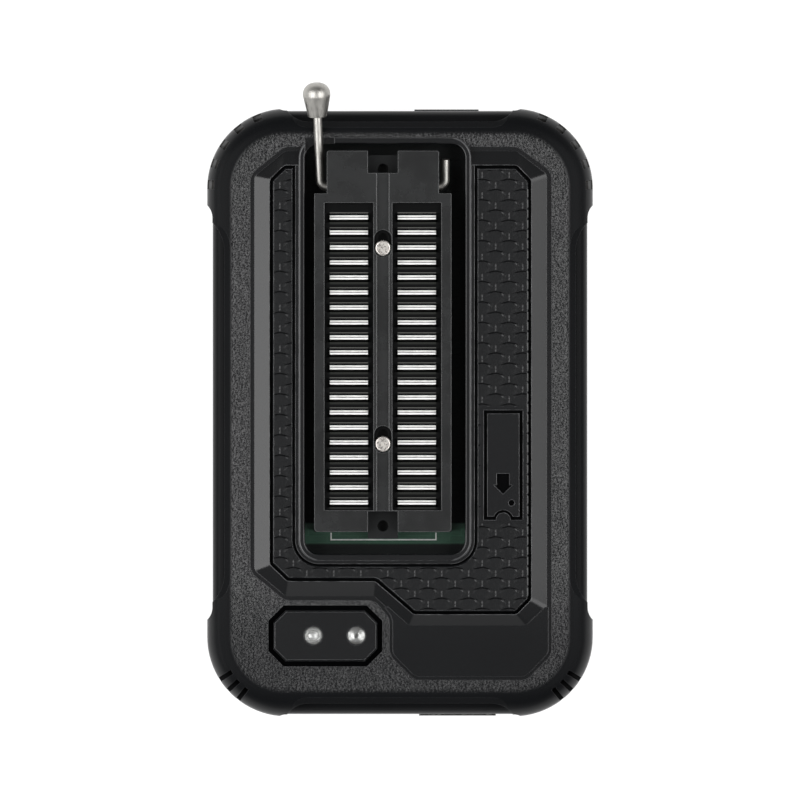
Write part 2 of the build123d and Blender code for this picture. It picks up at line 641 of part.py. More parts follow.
# ---- lamps -------------------------------------------------------------------------------------
def led_lens(x, y):
    """Return one lamp: a flange, a round body and a domed top."""
    lens = rod(x, y, LED_BASE, LED_TOP - LED_RADIUS, LED_RADIUS)
    lens += Pos(x, y, LED_TOP - LED_RADIUS) * Sphere(LED_RADIUS)
    lens += rod(x, y, LED_BASE, LED_BASE + LED_FLANGE_HEIGHT, LED_FLANGE_RADIUS)
    return lens


def led_leg_places():
    """Return the plan positions of the four lamp legs."""
    return [(x + side * LED_LEG_PITCH / 2, y) for x, y in LED_CENTRES for side in (-1, 1)]


def led_legs():
    """Return the four square legs that carry the lamps on the board."""
    half = LED_LEG_SIZE / 2
    return group(box(x - half, x + half, y - half, y + half, BOARD_BOTTOM - LEG_BELOW_BOARD, LED_BASE)
                 for x, y in led_leg_places())


# ---- lever socket ------------------------------------------------------------------------------
def row_places(side):
    """Return the plan centres of one column of slots; side is -1 for left and 1 for right."""
    return [(SOCKET_X + side * ROW_OFFSET, FIRST_ROW_Y - row * PITCH) for row in range(ROWS)]


def contact_places(side):
    """Return the plan centres of one column of contacts, which stand low in their slots."""
    return [(x, y - CONTACT_SHIFT) for x, y in row_places(side)]


def all_contact_places():
    """Return the plan centres of both columns of contacts."""
    return contact_places(-1) + contact_places(1)


def crank_saddle(x0, x1, clearance):
    """Return the round-bottomed groove that a stretch of the cross shaft lies in."""
    radius = WIRE_RADIUS + clearance
    groove = Pos((x0 + x1) / 2, CAM_Y, CAM_Z) * Rot(0, 90, 0) * Cylinder(radius, x1 - x0)
    return groove + box(x0, x1, CAM_Y - radius, CAM_Y + radius, CAM_Z, BASE_TOP + OVERCUT)


def head_limits():
    """Return the left and right faces of the narrow head of the socket."""
    return SOCKET_X - HEAD_WIDTH / 2, SOCKET_X + HEAD_WIDTH / 2


def crank_limits():
    """Return where the crank's two side steps start and end along the shaft."""
    left, right = head_limits()
    return left + JOURNAL_END, right - JOURNAL_END


def socket_base():
    """Return the socket's body: contact cells, crank bay, journal saddles and end holes."""
    half = SOCKET_WIDTH / 2
    left, right = head_limits()
    base = box(SOCKET_X - half, SOCKET_X + half, BASE_END_LOW, SHOULDER_Y, BASE_Z, BASE_TOP)
    base += box(left, right, SHOULDER_Y, BASE_END_HIGH, BASE_Z, BASE_TOP)
    base += box(SOCKET_X - TAB_NOTCH_HALF, SOCKET_X + TAB_NOTCH_HALF, TONGUE_END, BASE_END_LOW,
                BASE_Z, BASE_TOP)
    cell_x = CONTACT_LENGTH / 2 + CONTACT_FIT
    cell_y = CONTACT_WIDTH / 2 + CONTACT_FIT
    pin_x = PIN_WIDTH / 2 + CONTACT_FIT
    pin_y = PIN_THICKNESS / 2 + CONTACT_FIT
    for x, y in all_contact_places():
        base -= box(x - cell_x, x + cell_x, y - cell_y, y + cell_y,
                    BASE_TOP - CONTACT_DEPTH, BASE_TOP + OVERCUT)
        base -= box(x - pin_x, x + pin_x, y - pin_y, y + pin_y, BASE_Z - OVERCUT, BASE_TOP)
    crank_left, crank_right = crank_limits()
    bay_low = CAM_Y - DRIVER_HALF - COVER_TRAVEL - SWEEP_CLEARANCE
    bay_high = CAM_Y + DRIVER_HALF + SWEEP_CLEARANCE
    base -= box(crank_left, crank_right, bay_low, bay_high,
                CAM_Z - WIRE_RADIUS - SWEEP_CLEARANCE, BASE_TOP + OVERCUT)
    base -= crank_saddle(left - OVERCUT, right + OVERCUT, JOURNAL_CLEARANCE)
    base -= crank_saddle(left - OVERCUT, left + SADDLE_MOUTH, BEND_CLEARANCE)
    base -= crank_saddle(right - SADDLE_MOUTH, right + OVERCUT, BEND_CLEARANCE)
    for y in BASE_HOLES_Y:
        base -= rod(SOCKET_X, y, BASE_TOP - BASE_HOLE_DEPTH, BASE_TOP + OVERCUT, BASE_HOLE_RADIUS)
    for y in RIVET_YS:
        base -= rod(SOCKET_X, y, BASE_TOP - RIVET_DEPTH, BASE_TOP + OVERCUT, RIVET_RADIUS + RIVET_FIT)
    return base


def crank_clearance_cuts():
    """Return the hollow in the cover for the crank: a close slot, and room for its side steps."""
    crank_left, crank_right = crank_limits()
    crank_y = CAM_Y + COVER_TRAVEL / 2
    slot_half = WIRE_RADIUS + CRANK_CLEARANCE
    ceiling = CAM_Z + CRANK_THROW + WIRE_RADIUS + SWEEP_CLEARANCE
    cuts = [box(crank_left, crank_right, crank_y - slot_half, crank_y + slot_half,
                COVER_BOTTOM - DRIVER_DROP - OVERCUT, ceiling)]
    low_y = CAM_Y - WIRE_RADIUS - SWEEP_CLEARANCE
    high_y = CAM_Y + COVER_TRAVEL + WIRE_RADIUS + SWEEP_CLEARANCE
    step = STEP_INSET + CRANK_STEP + WIRE_RADIUS
    for x0, x1 in ((crank_left, crank_left + step), (crank_right - step, crank_right)):
        cuts.append(box(x0, x1, low_y, high_y, COVER_BOTTOM - DRIVER_DROP - OVERCUT, ceiling))
    return cuts


def socket_cover():
    """Return the sliding cover: rails, two slotted lattices, rivet slots and the crank drive."""
    half = SOCKET_WIDTH / 2
    left, right = head_limits()
    cover = rounded_block(SOCKET_X - half, SOCKET_X + half, COVER_END_LOW, SHOULDER_Y,
                          COVER_BOTTOM, COVER_TOP, COVER_CORNER)
    square_y = SHOULDER_Y - 2 * COVER_CORNER
    cover += box(SOCKET_X - half, SOCKET_X + half, square_y, SHOULDER_Y, COVER_BOTTOM, COVER_TOP)
    cover += rounded_block(left, right, square_y, COVER_END_HIGH, COVER_BOTTOM, COVER_TOP,
                           COVER_CORNER / 2)
    cover -= box(SOCKET_X - TAB_NOTCH_HALF, SOCKET_X + TAB_NOTCH_HALF, TOP_NOTCH_Y,
                 COVER_END_HIGH + OVERCUT, COVER_BOTTOM - OVERCUT, COVER_TOP + OVERCUT)
    cover -= box(SOCKET_X - TAB_NOTCH_HALF, SOCKET_X + TAB_NOTCH_HALF, COVER_END_LOW - OVERCUT,
                 LOW_NOTCH_Y, COVER_BOTTOM - OVERCUT, COVER_TOP + OVERCUT)
    lattice_high = FIRST_ROW_Y + PITCH
    lattice_low = FIRST_ROW_Y - ROWS * PITCH + PITCH / 2
    for side in (-1, 1):
        middle = SOCKET_X + side * ROW_OFFSET
        x0 = middle - LATTICE_WIDTH / 2
        x1 = middle + LATTICE_WIDTH / 2
        cover -= box(x0, x1, lattice_low, lattice_high, LATTICE_TOP, COVER_TOP + OVERCUT)
        cover -= box(x0, x1, lattice_low, lattice_high, COVER_BOTTOM - OVERCUT, LATTICE_BOTTOM)
        for x, y in row_places(side):
            cover -= box(x0, x1, y - SLOT_LENGTH / 2, y + SLOT_LENGTH / 2,
                         LATTICE_BOTTOM - OVERCUT, COVER_TOP + OVERCUT)
    crank_left, crank_right = crank_limits()
    driver_x0 = crank_left + STEP_INSET + CRANK_STEP + WIRE_RADIUS
    driver_x1 = crank_right - STEP_INSET - CRANK_STEP - WIRE_RADIUS
    cover += box(driver_x0, driver_x1, CAM_Y - DRIVER_HALF, CAM_Y + DRIVER_HALF,
                 COVER_BOTTOM - DRIVER_DROP, COVER_BOTTOM + ROOT)
    for cut in crank_clearance_cuts():
        cover -= cut
    channel_half = CHANNEL_WIDTH / 2
    cover -= box(SOCKET_X - channel_half, SOCKET_X + channel_half, LOW_NOTCH_Y, TOP_NOTCH_Y,
                 COVER_TOP - CHANNEL_DEPTH, COVER_TOP + OVERCUT)
    for y in RIVET_YS:
        seat_z = COVER_TOP - RIVET_SEAT
        cover -= stadium(SOCKET_X, y, y + COVER_TRAVEL, seat_z, COVER_TOP + OVERCUT,
                         RIVET_HEAD_RADIUS + RIVET_CLEARANCE)
        cover -= stadium(SOCKET_X, y, y + COVER_TRAVEL, COVER_BOTTOM - OVERCUT, COVER_TOP,
                         RIVET_RADIUS + RIVET_CLEARANCE)
    return cover


def rivets():
    """Return the two round-headed rivets that hold the cover down and let it slide."""
    solids = []
    for y in RIVET_YS:
        seat_z = COVER_TOP - RIVET_SEAT + COVER_GAP
        foot_z = BASE_TOP - RIVET_DEPTH
        shank = rod(SOCKET_X, y, foot_z, seat_z + RIVET_HEAD_HEIGHT / 2, RIVET_RADIUS)
        head = rod(SOCKET_X, y, seat_z, seat_z + RIVET_HEAD_HEIGHT, RIVET_HEAD_RADIUS)
        head = fillet(head.faces().sort_by(Axis.Z)[-1].edges(), RIVET_HEAD_HEIGHT / 2)
        solids.append(shank + head)
    return group(solids)


def contact_profile():
    """Return one contact's side view: two leaves on a common root, one with a lip bent outwards."""
    low = -CONTACT_WIDTH / 2
    high = CONTACT_WIDTH / 2
    floor_z = BASE_TOP - CONTACT_DEPTH
    root_z = floor_z + CONTACT_ROOT
    top_z = LATTICE_BOTTOM - CONTACT_TOP_GAP
    lip_z = top_z - LIP_FALL
    first = high - LEAF
    second = first - LEAF_GAP
    return make_face(Polyline(
        (low, floor_z), (high, floor_z), (high, top_z), (first, top_z), (first, root_z),
        (second, root_z), (second, top_z), (second - LIP_TIP, top_z), (low, lip_z),
        (low, lip_z - LIP_EDGE), (second - LEAF, lip_z - LIP_EDGE), (second - LEAF, root_z),
        (low, root_z), close=True))


def contacts(side):
    """Return one column of socket contacts, each with its pin down through the board."""
    profile = Plane.YZ * contact_profile()
    blade = Pos(-CONTACT_LENGTH / 2, 0, 0) * extrude(profile, CONTACT_LENGTH)
    blade += box(-PIN_WIDTH / 2, PIN_WIDTH / 2, -PIN_THICKNESS / 2, PIN_THICKNESS / 2,
                 BOARD_BOTTOM - LEG_BELOW_BOARD, BASE_TOP - CONTACT_DEPTH + CONTACT_ROOT / 2)
    return group(Pos(x, y, 0) * blade for x, y in contact_places(side))


# ---- lever -------------------------------------------------------------------------------------
def arm_point(x, distance):
    """Return a point at a distance from the cam axis along the lever's rest direction."""
    angle = radians(LEVER_REST_ANGLE)
    return (x, CAM_Y + distance * cos(angle), CAM_Z + distance * sin(angle))


def arm_xs():
    """Return the x of the long arm at its root and at its far end."""
    left, _ = head_limits()
    root = left - ARM_GAP - WIRE_RADIUS
    return root, root - ARM_LEAN


def lever_wire():
    """Return the bent wire: long arm, journals, crank and short stub."""
    root_x, tip_x = arm_xs()
    _, right = head_limits()
    stub_x = right + ARM_GAP + WIRE_RADIUS
    crank_left, crank_right = crank_limits()
    start = radians(CRANK_START_ANGLE)
    crank_y = CAM_Y + CRANK_THROW * cos(start)
    crank_z = CAM_Z + CRANK_THROW * sin(start)
    wire_end = KNOB_START + KNOB_BORE_DEPTH - COVER_GAP
    points = [
        arm_point(tip_x, wire_end),
        (root_x, CAM_Y, CAM_Z),
        (crank_left + STEP_INSET, CAM_Y, CAM_Z),
        (crank_left + STEP_INSET + CRANK_STEP, crank_y, crank_z),
        (crank_right - STEP_INSET - CRANK_STEP, crank_y, crank_z),
        (crank_right - STEP_INSET, CAM_Y, CAM_Z),
        (stub_x, CAM_Y, CAM_Z),
        arm_point(stub_x, STUB_LENGTH),
    ]
    radii = [ARM_BEND_RADIUS] + [CRANK_BEND_RADIUS] * 4 + [ARM_BEND_RADIUS]
    path = FilletPolyline(*points, radius=radii)
    section = Plane(origin=path @ 0, z_dir=path % 0) * Circle(WIRE_RADIUS)
    return sweep(section, path=path)


def lever_knob():
    """Return the turned knob on the end of the arm: a taper that ends in a ball."""
    root_x, tip_x = arm_xs()
    near = Vector(*arm_point(root_x, 0))
    far = Vector(*arm_point(tip_x, KNOB_START + KNOB_BORE_DEPTH))
    direction = (far - near).normalized()
    outline = make_face(Polyline((0, 0), (KNOB_BASE_RADIUS, 0), (KNOB_RADIUS, KNOB_WIDEST),
                                 (KNOB_RADIUS, KNOB_LENGTH), (0, KNOB_LENGTH), close=True))
    shoulder = outline.vertices().group_by(Axis.X)[-1].sort_by(Axis.Y)[0]
    outline = fillet(shoulder, KNOB_SHOULDER_RADIUS)
    crown = outline.vertices().group_by(Axis.X)[-1].sort_by(Axis.Y)[-1]
    outline = fillet(crown, KNOB_CROWN_RADIUS)
    turned = revolve(Plane.XZ * outline, Axis.Z)
    turned -= rod(0, 0, -1, KNOB_BORE_DEPTH, WIRE_RADIUS + KNOB_FIT)
    place = Plane(origin=near + direction * KNOB_START, z_dir=direction)
    return place.location * turned


# ---- board -------------------------------------------------------------------------------------
def usb_limits():
    """Return the socket shell's limits: x0, x1, front y, back y, low z, high z."""
    half = USB_WIDTH / 2
    front = -WALL_Y
    return (USB_X - half, USB_X + half, front, front + USB_DEPTH,
            BOARD_BOTTOM - USB_HEIGHT, BOARD_BOTTOM)


def isp_limits():
    """Return the header shroud's limits: x0, x1, back y, front y, low z, high z."""
    half = ISP_WIDTH / 2
    front = WALL_Y + ISP_PROUD
    return (ISP_X - half, ISP_X + half, front - ISP_DEPTH, front,
            BOARD_BOTTOM - ISP_HEIGHT, BOARD_BOTTOM)


def usb_tail_places():
    """Return the plan places of the USB contacts' tails, in two rows."""
    _, _, _, back, _, _ = usb_limits()
    near = back + USB_TAIL_SETBACK
    return [(USB_X + side * USB_CONTACT_OFFSET, near + level * USB_TAIL_PITCH)
            for level in (0, 1) for side in (-1, 1)]


def isp_tail_places():
    """Return the plan places of the header pins' tails, in two rows of three."""
    _, _, back, _, _, _ = isp_limits()
    return [(ISP_X + column * PITCH, back - ISP_TAIL_SETBACK - level * PITCH)
            for level in (0, 1) for column in (-1, 0, 1)]


def square_lead_hole(size):
    """Return the radius of the hole that a square lead passes through."""
    return size / sqrt(2) + LEAD_HOLE_CLEARANCE


def main_board():
    """Return the circuit board with a hole for every lead that passes through it."""
    board = cavity(CAVITY_X - BOARD_CLEARANCE, CAVITY_Y - BOARD_CLEARANCE,
                   CAVITY_RADIUS - BOARD_CLEARANCE, BOARD_BOTTOM, BOARD_TOP)
    holes = [(x, y, PIN_HOLE_RADIUS) for x, y in all_contact_places()]
    holes += [(x, y, square_lead_hole(LED_LEG_SIZE)) for x, y in led_leg_places()]
    holes += [(x, y, USB_CONTACT[0] / 2 + LEAD_HOLE_CLEARANCE) for x, y in usb_tail_places()]
    holes += [(x, y, USB_LEG_HOLE) for x, y in usb_leg_places()]
    holes += [(x, y, SCREW_RADIUS + SCREW_PASSAGE) for x, y in screw_places()]
    for x, y, radius in holes:
        board -= rod(x, y, BOARD_BOTTOM - OVERCUT, BOARD_TOP + OVERCUT, radius)
    return board


# ---- connectors --------------------------------------------------------------------------------
def usb_leg_places():
    """Return the plan places of the two legs that fix the socket shell to the board."""
    x0, x1, front, _, _, _ = usb_limits()
    y = front + USB_LEG_SETBACK + USB_LEG[0]
    return [(x0 + USB_LEG[1] / 2, y), (x1 - USB_LEG[1] / 2, y)]


def usb_shell():
    """Return the folded metal shell of the USB socket, open at the front."""
    x0, x1, front, back, low, high = usb_limits()
    sheet = USB_SHEET
    shell = box(x0, x1, front, back, low, high)
    shell -= box(x0 + sheet, x1 - sheet, front - OVERCUT, back - sheet, low + sheet, high - sheet)
    shell -= box(USB_X - USB_BACK_WINDOW, USB_X + USB_BACK_WINDOW, back - sheet - OVERCUT,
                 back + OVERCUT, low + sheet, high - sheet)
    face = front - USB_FLANGE_GAP
    flange = box(x0 - USB_FLANGE, x1 + USB_FLANGE, face - USB_FLANGE_THICKNESS, face,
                 low - USB_FLANGE, high + USB_FLANGE)
    flange += box(x0, x1, face, front + sheet, low, high)
    flange -= box(x0 + sheet, x1 - sheet, front - OVERCUT, front + OVERCUT, low + sheet,
                  high - sheet)
    shell += flange
    for x, y in usb_leg_places():
        shell += box(x - USB_LEG[1] / 2, x + USB_LEG[1] / 2, y - USB_LEG[0] / 2,
                     y + USB_LEG[0] / 2, high - sheet, BOARD_TOP + TAIL_ABOVE_BOARD)
    return shell


def usb_contact_levels():
    """Return the two heights of the USB contacts: on top of and under the tongue."""
    _, _, _, _, low, high = usb_limits()
    middle = (low + high) / 2
    half = USB_TONGUE[1] / 2
    return middle + half + USB_CONTACT[1] / 2, middle - half - USB_CONTACT[1] / 2


def usb_contact(x, y_tail, level_z):
    """Return one contact: a strip along the tongue and a tail up through the board."""
    _, _, front, _, _, _ = usb_limits()
    half = USB_CONTACT[0] / 2
    thin = USB_CONTACT[1] / 2
    strip_start = front + USB_CAVITY[2] - USB_TONGUE[2] + USB_CONTACT_SETBACK
    strip = box(x - half, x + half, strip_start, y_tail + thin, level_z - thin, level_z + thin)
    return strip + box(x - half, x + half, y_tail - thin, y_tail + thin, level_z - thin,
                       BOARD_TOP + TAIL_ABOVE_BOARD)


def usb_contacts():
    """Return the four USB contacts."""
    upper, lower = usb_contact_levels()
    places = usb_tail_places()
    solids = [usb_contact(x, y, upper) for x, y in places[:2]]
    solids += [usb_contact(x, y, lower) for x, y in places[2:]]
    return group(solids)


def usb_insulator():
    """Return the moulding inside the USB socket, with its mouth, tongue and contact slots."""
    x0, x1, front, back, low, high = usb_limits()
    sheet = USB_SHEET
    block = box(x0 + sheet, x1 - sheet, front + USB_MOULDING_SETBACK, back - sheet, low + sheet,
                high - sheet)
    width, height, depth = USB_CAVITY
    middle = (low + high) / 2
    mouth = Rectangle(width, height)
    mouth = chamfer(mouth.vertices().group_by(Axis.Y)[-1], USB_CAVITY_CHAMFER)
    mouth_cut = Plane(origin=(USB_X, front, middle), z_dir=(0, 1, 0), x_dir=(-1, 0, 0)) * mouth
    block -= extrude(mouth_cut, depth)
    tongue_width, tongue_height, tongue_length = USB_TONGUE
    block += box(USB_X - tongue_width / 2, USB_X + tongue_width / 2,
                 front + depth - tongue_length, front + depth + ROOT,
                 middle - tongue_height / 2, middle + tongue_height / 2)
    return block - usb_contacts()


def isp_shroud():
    """Return the in-circuit header's shroud, with a keyway in its lower wall."""
    x0, x1, back, front, low, high = isp_limits()
    shroud = box(x0, x1, back, front, low, high)
    shroud -= box(x0 + ISP_WALL, x1 - ISP_WALL, back + ISP_BACK, front + OVERCUT,
                  low + ISP_WALL, high - ISP_WALL)
    key_half = ISP_KEY_WIDTH / 2
    shroud -= box(ISP_X - key_half, ISP_X + key_half, back + ISP_BACK, front + OVERCUT,
                  low - OVERCUT, low + ISP_WALL + OVERCUT)
    return shroud - isp_pins()


def isp_pins():
    """Return the six bent pins of the in-circuit header, which end flat under the board."""
    _, _, _, front, low, high = isp_limits()
    middle = (low + high) / 2
    half = ISP_PIN / 2
    solids = []
    for index, (x, y) in enumerate(isp_tail_places()):
        level_z = middle + PITCH / 2 if index < 3 else middle - PITCH / 2
        pin = box(x - half, x + half, y - half, front - ISP_PIN_SETBACK, level_z - half,
                  level_z + half)
        pin += box(x - half, x + half, y - half, y + half, level_z - half,
                   BOARD_BOTTOM)
        solids.append(pin)
    return group(solids)


# ---- parts on the board ------------------------------------------------------------------------
def chip_body(x, y, width, length, height):
    """Return a flat moulded chip body with bevelled sides, standing just over the board."""
    bottom = BOARD_TOP + CHIP_STANDOFF
    body = box(x - width / 2, x + width / 2, y - length / 2, y + length / 2, bottom,
               bottom + height)
    return chamfer(body.faces().sort_by(Axis.Z)[-1].edges(), CHIP_BEVEL)


def gull_lead(x, y, turn, half_body, height):
    """Return one lead: out of the body's side, down, and along the board."""
    level = BOARD_TOP + CHIP_STANDOFF + height / 2
    thin = LEAD_THICKNESS
    profile = make_face(Polyline(
        (0, level + thin), (LEAD_KNEE, level + thin), (LEAD_KNEE, BOARD_TOP + thin),
        (LEAD_REACH, BOARD_TOP + thin), (LEAD_REACH, BOARD_TOP), (LEAD_KNEE - thin, BOARD_TOP),
        (LEAD_KNEE - thin, level), (0, level), close=True))
    lead = Pos(0, LEAD_WIDTH / 2, 0) * extrude(Plane.XZ * profile, LEAD_WIDTH)
    return Pos(x, y, 0) * Rot(0, 0, turn) * Pos(half_body, 0, 0) * lead


def lead_row(x, y, turn, half_body, height, count, pitch):
    """Return the leads along one side of a chip."""
    angle = radians(turn)
    solids = []
    for index in range(count):
        shift = (index - (count - 1) / 2) * pitch
        solids.append(gull_lead(x - shift * sin(angle), y + shift * cos(angle), turn, half_body,
                                height))
    return solids


def control_chip_leads():
    """Return the leads on all four sides of the control chip."""
    x, y, width, _, height = CONTROL_CHIP
    solids = []
    for turn in (0, 90, 180, 270):
        solids += lead_row(x, y, turn, width / 2, height, CONTROL_LEADS_PER_SIDE,
                           CONTROL_LEAD_PITCH)
    return group(solids)


def driver_chip_leads():
    """Return the leads on the two long sides of each driver chip."""
    width, _, height = DRIVER_BODY
    solids = []
    for x, y in DRIVER_CHIPS:
        for turn in (0, 180):
            solids += lead_row(x, y, turn, width / 2, height, DRIVER_LEADS_PER_SIDE,
                               DRIVER_LEAD_PITCH)
    return group(solids)


def crystal():
    """Return the clock crystal's rounded can on its flange."""
    x, y, width, length, height = CRYSTAL
    half_x = width / 2
    half_y = length / 2
    end_radius = half_x - CRYSTAL_END_FLAT / 2
    can = rounded_block(x - half_x, x + half_x, y - half_y, y + half_y, BOARD_TOP,
                        BOARD_TOP + height, end_radius)
    can = fillet(can.faces().sort_by(Axis.Z)[-1].edges(), CRYSTAL_EDGE)
    rim_x = half_x + CRYSTAL_FLANGE
    rim_y = half_y + CRYSTAL_FLANGE
    return can + rounded_block(x - rim_x, x + rim_x, y - rim_y, y + rim_y, BOARD_TOP,
                               BOARD_TOP + CRYSTAL_FLANGE, end_radius + CRYSTAL_FLANGE)


def capacitors():
    """Return the two upright cans under the board, each with its crimp."""
    crimp_z = BOARD_BOTTOM - CRIMP_SETBACK
    solids = []
    for x, y in CAPACITORS:
        can = rod(x, y, BOARD_BOTTOM - CAPACITOR_HEIGHT, BOARD_BOTTOM, CAPACITOR_RADIUS)
        band = rod(x, y, crimp_z - CRIMP_WIDTH, crimp_z, CAPACITOR_RADIUS + OVERCUT)
        band -= rod(x, y, crimp_z - CRIMP_WIDTH, crimp_z, CAPACITOR_RADIUS - CAPACITOR_BAND)
        solids.append(can - band)
    return group(solids)


def power_inductor():
    """Return the drum of the supply's coil, under the board."""
    x, y, width, height = INDUCTOR
    low = BOARD_BOTTOM - height
    drum = rod(x, y, low, BOARD_BOTTOM, INDUCTOR_CORE_RADIUS)
    for z0 in (low, BOARD_BOTTOM - INDUCTOR_FLANGE):
        drum += rod(x, y, z0, z0 + INDUCTOR_FLANGE, width / 2)
    return drum


# ---- fasteners and feet ------------------------------------------------------------------------
def case_screws():
    """Return the four screws that run up through the lower shell and board into the top shell."""
    solids = []
    for x, y in screw_places():
        low = SCREW_SEAT - SCREW_HEAD_HEIGHT
        head = rod(x, y, low, SCREW_SEAT, SCREW_HEAD_RADIUS)
        head = fillet(head.faces().sort_by(Axis.Z)[0].edges(), SCREW_HEAD_EDGE)
        reach = SCREW_SLOT_REACH
        half = SCREW_SLOT / 2
        slot_z = low + SCREW_SLOT_DEPTH
        head -= box(x - reach, x + reach, y - half, y + half, low - OVERCUT, slot_z)
        head -= box(x - half, x + half, y - reach, y + reach, low - OVERCUT, slot_z)
        solids.append(head + rod(x, y, SCREW_SEAT, SCREW_TIP, SCREW_RADIUS))
    return group(solids)


def rubber_feet():
    """Return the four round rubber feet in their recesses."""
    solids = []
    for x, y in foot_places():
        foot = rod(x, y, 0, CASE_BOTTOM + FOOT_RECESS, FOOT_RADIUS)
        solids.append(fillet(foot.faces().sort_by(Axis.Z)[0].edges(), FOOT_HEIGHT / 2))
    return group(solids)


def build():
    """Write every node of the programmer to its own STEP file."""
    case = case_block()
    nodes = {
        "top_shell": top_shell(case),
        "bottom_shell": bottom_shell(case),
        "led_plate": led_plate(),
        "power_led": led_lens(*LED_CENTRES[0]),
        "run_led": led_lens(*LED_CENTRES[1]),
        "led_legs": led_legs(),
        "zif_base": socket_base(),
        "zif_cover": socket_cover(),
        "zif_rivets": rivets(),
        "zif_contacts_left": contacts(-1),
        "zif_contacts_right": contacts(1),
        "zif_lever": lever_wire(),
        "lever_knob": lever_knob(),
        "main_board": main_board(),
        "usb_shell": usb_shell(),
        "usb_insulator": usb_insulator(),
        "usb_contacts": usb_contacts(),
        "isp_shroud": isp_shroud(),
        "isp_pins": isp_pins(),
        "control_chip": chip_body(*CONTROL_CHIP),
        "control_chip_leads": control_chip_leads(),
        "driver_chips": group(chip_body(x, y, *DRIVER_BODY) for x, y in DRIVER_CHIPS),
        "driver_chip_leads": driver_chip_leads(),
        "crystal": crystal(),
        "capacitors": capacitors(),
        "power_inductor": power_inductor(),
        "case_screws": case_screws(),
        "rubber_feet": rubber_feet(),
    }
    os.makedirs("parts", exist_ok=True)
    for name, shape in nodes.items():
        export_step(shape, f"parts/{name}.step")


build()
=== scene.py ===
"""Looks for the USB microcontroller programmer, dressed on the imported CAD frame.

Lengths are millimetres, unless a name or a docstring says otherwise; MM turns them into metres.
A constant called a fade holds the two places between which something changes smoothly.
"""
import json
import math

import bpy
from mathutils import Matrix, Vector


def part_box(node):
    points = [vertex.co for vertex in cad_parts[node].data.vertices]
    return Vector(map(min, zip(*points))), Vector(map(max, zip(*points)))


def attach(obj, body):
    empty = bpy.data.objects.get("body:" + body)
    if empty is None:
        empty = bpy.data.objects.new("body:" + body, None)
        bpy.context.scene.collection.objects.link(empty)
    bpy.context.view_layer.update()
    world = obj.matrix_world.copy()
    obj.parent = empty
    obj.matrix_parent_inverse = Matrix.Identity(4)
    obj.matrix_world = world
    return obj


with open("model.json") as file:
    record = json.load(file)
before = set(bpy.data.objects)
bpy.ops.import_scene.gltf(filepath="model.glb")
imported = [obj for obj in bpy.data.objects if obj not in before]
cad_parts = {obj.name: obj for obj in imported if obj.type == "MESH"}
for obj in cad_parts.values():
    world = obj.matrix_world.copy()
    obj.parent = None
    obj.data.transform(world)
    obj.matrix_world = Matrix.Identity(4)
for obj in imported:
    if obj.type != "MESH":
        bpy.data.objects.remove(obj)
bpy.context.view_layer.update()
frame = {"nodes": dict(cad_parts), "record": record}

MM = 0.001

# ---- places read from the frame ------------------------------------------------------------------
CASE_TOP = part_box("led_plate")[1].z / MM
BOARD_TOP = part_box("main_board")[1].z / MM
SOCKET_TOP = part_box("zif_cover")[1].z / MM
RIM_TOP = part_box("top_shell")[1].z / MM
FIELD_RISE = 1.0
FIELD_TOP = CASE_TOP + FIELD_RISE
SOCKET_X = (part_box("zif_cover")[0].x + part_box("zif_cover")[1].x) / 2 / MM
FIRST_CONTACT_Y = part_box("zif_contacts_left")[1].y / MM
USB_FACE_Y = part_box("usb_shell")[0].y / MM

# ---- camera and studio ---------------------------------------------------------------------------
VIEW_WIDTH = 135.46
VIEW_CENTRE = (0.0, 2.12)
VIEW_LEVEL = 25.0
CAMERA_DISTANCE = 3600.0
SENSOR_WIDTH = 36.0
CLIP_METRES = (0.1, 40.0)
FLOOR_RADIUS = 8000.0
FLOOR_STEPS = 48
HORIZON_SPREAD = 1.02
HORIZON_HEIGHT = 700.0
FLOOR_GREY = 0.8
SEEN_FLOOR_GREY = 0.3
SEEN_FLOOR_GLOW = 0.82
SOFTBOX_DISTANCE = 1000.0
WORLD_STRENGTH = 0.2
SOFTBOXES = [
    # name, azimuth from +X and tilt off overhead in degrees, radiance, width, length
    ("softbox_left", 180, 40, 3.4, 1000, 1050),
    ("softbox_right", 0, 36, 3.2, 860, 1050),
    ("softbox_front", 270, 67, 0.5, 400, 640),
]

# ---- scale pattern on the panel: a cell is one scale, arched along its upper edge ----------------
CELL_ORIGIN = (16.2, 38.5)
CELL_PITCH_X = 4.57
CELL_PITCH_Y = 1.73
CELL_ARCH = 0.24
CELL_ARCH_START = -0.7
CELL_ARCH_SWING = 1.2
CELL_HEIGHT = 0.07
CELL_ROOT = 0.05
CELL_SEAM = 0.01
CELL_FEATHER = 0.8
CELL_EDGE_SLOPE = 0.08
CELL_END_SHARE = 0.8
CELL_END_GAP = 0.03
CELL_END_SLOPE = 0.08
CELL_END_FADE = 0.6
CELL_STEPS = 10
CELL_HALF_X = (CELL_PITCH_X - CELL_END_GAP) / 2
ARCH_GAP = 0.17
ARCH_HALF_SPAN = 1.6
ARCH_TAPER = 0.7
# the near-black strips in the gaps are painted shade; they reach this high above the field
ARCH_DEPTH = 0.02
ARCH_FILL = 0.98
ARCH_STEPS = 14

# ---- the field that the scales cover, and what they leave free -----------------------------------
FIELD_OUTLINE = [
    (-22.15, 39.5), (-19.6, 41.95), (19.8, 41.95), (22.3, 39.4), (22.3, -31.7), (19.8, -34.25),
    (2.3, -34.25), (-4.2, -28.65), (-19.1, -28.65), (-22.15, -25.7),
]
FIELD_INSET = 0.8
# guards are x0, x1, y0, y1
POCKET_GUARD = (-18.34, 13.24, -26.24, 50.0)
POCKET_GUARD_RADIUS = 4.64
SYMBOL_GUARD = (13.6, 21.4, -18.8, 1.0)
CUT_REACH = 1.0

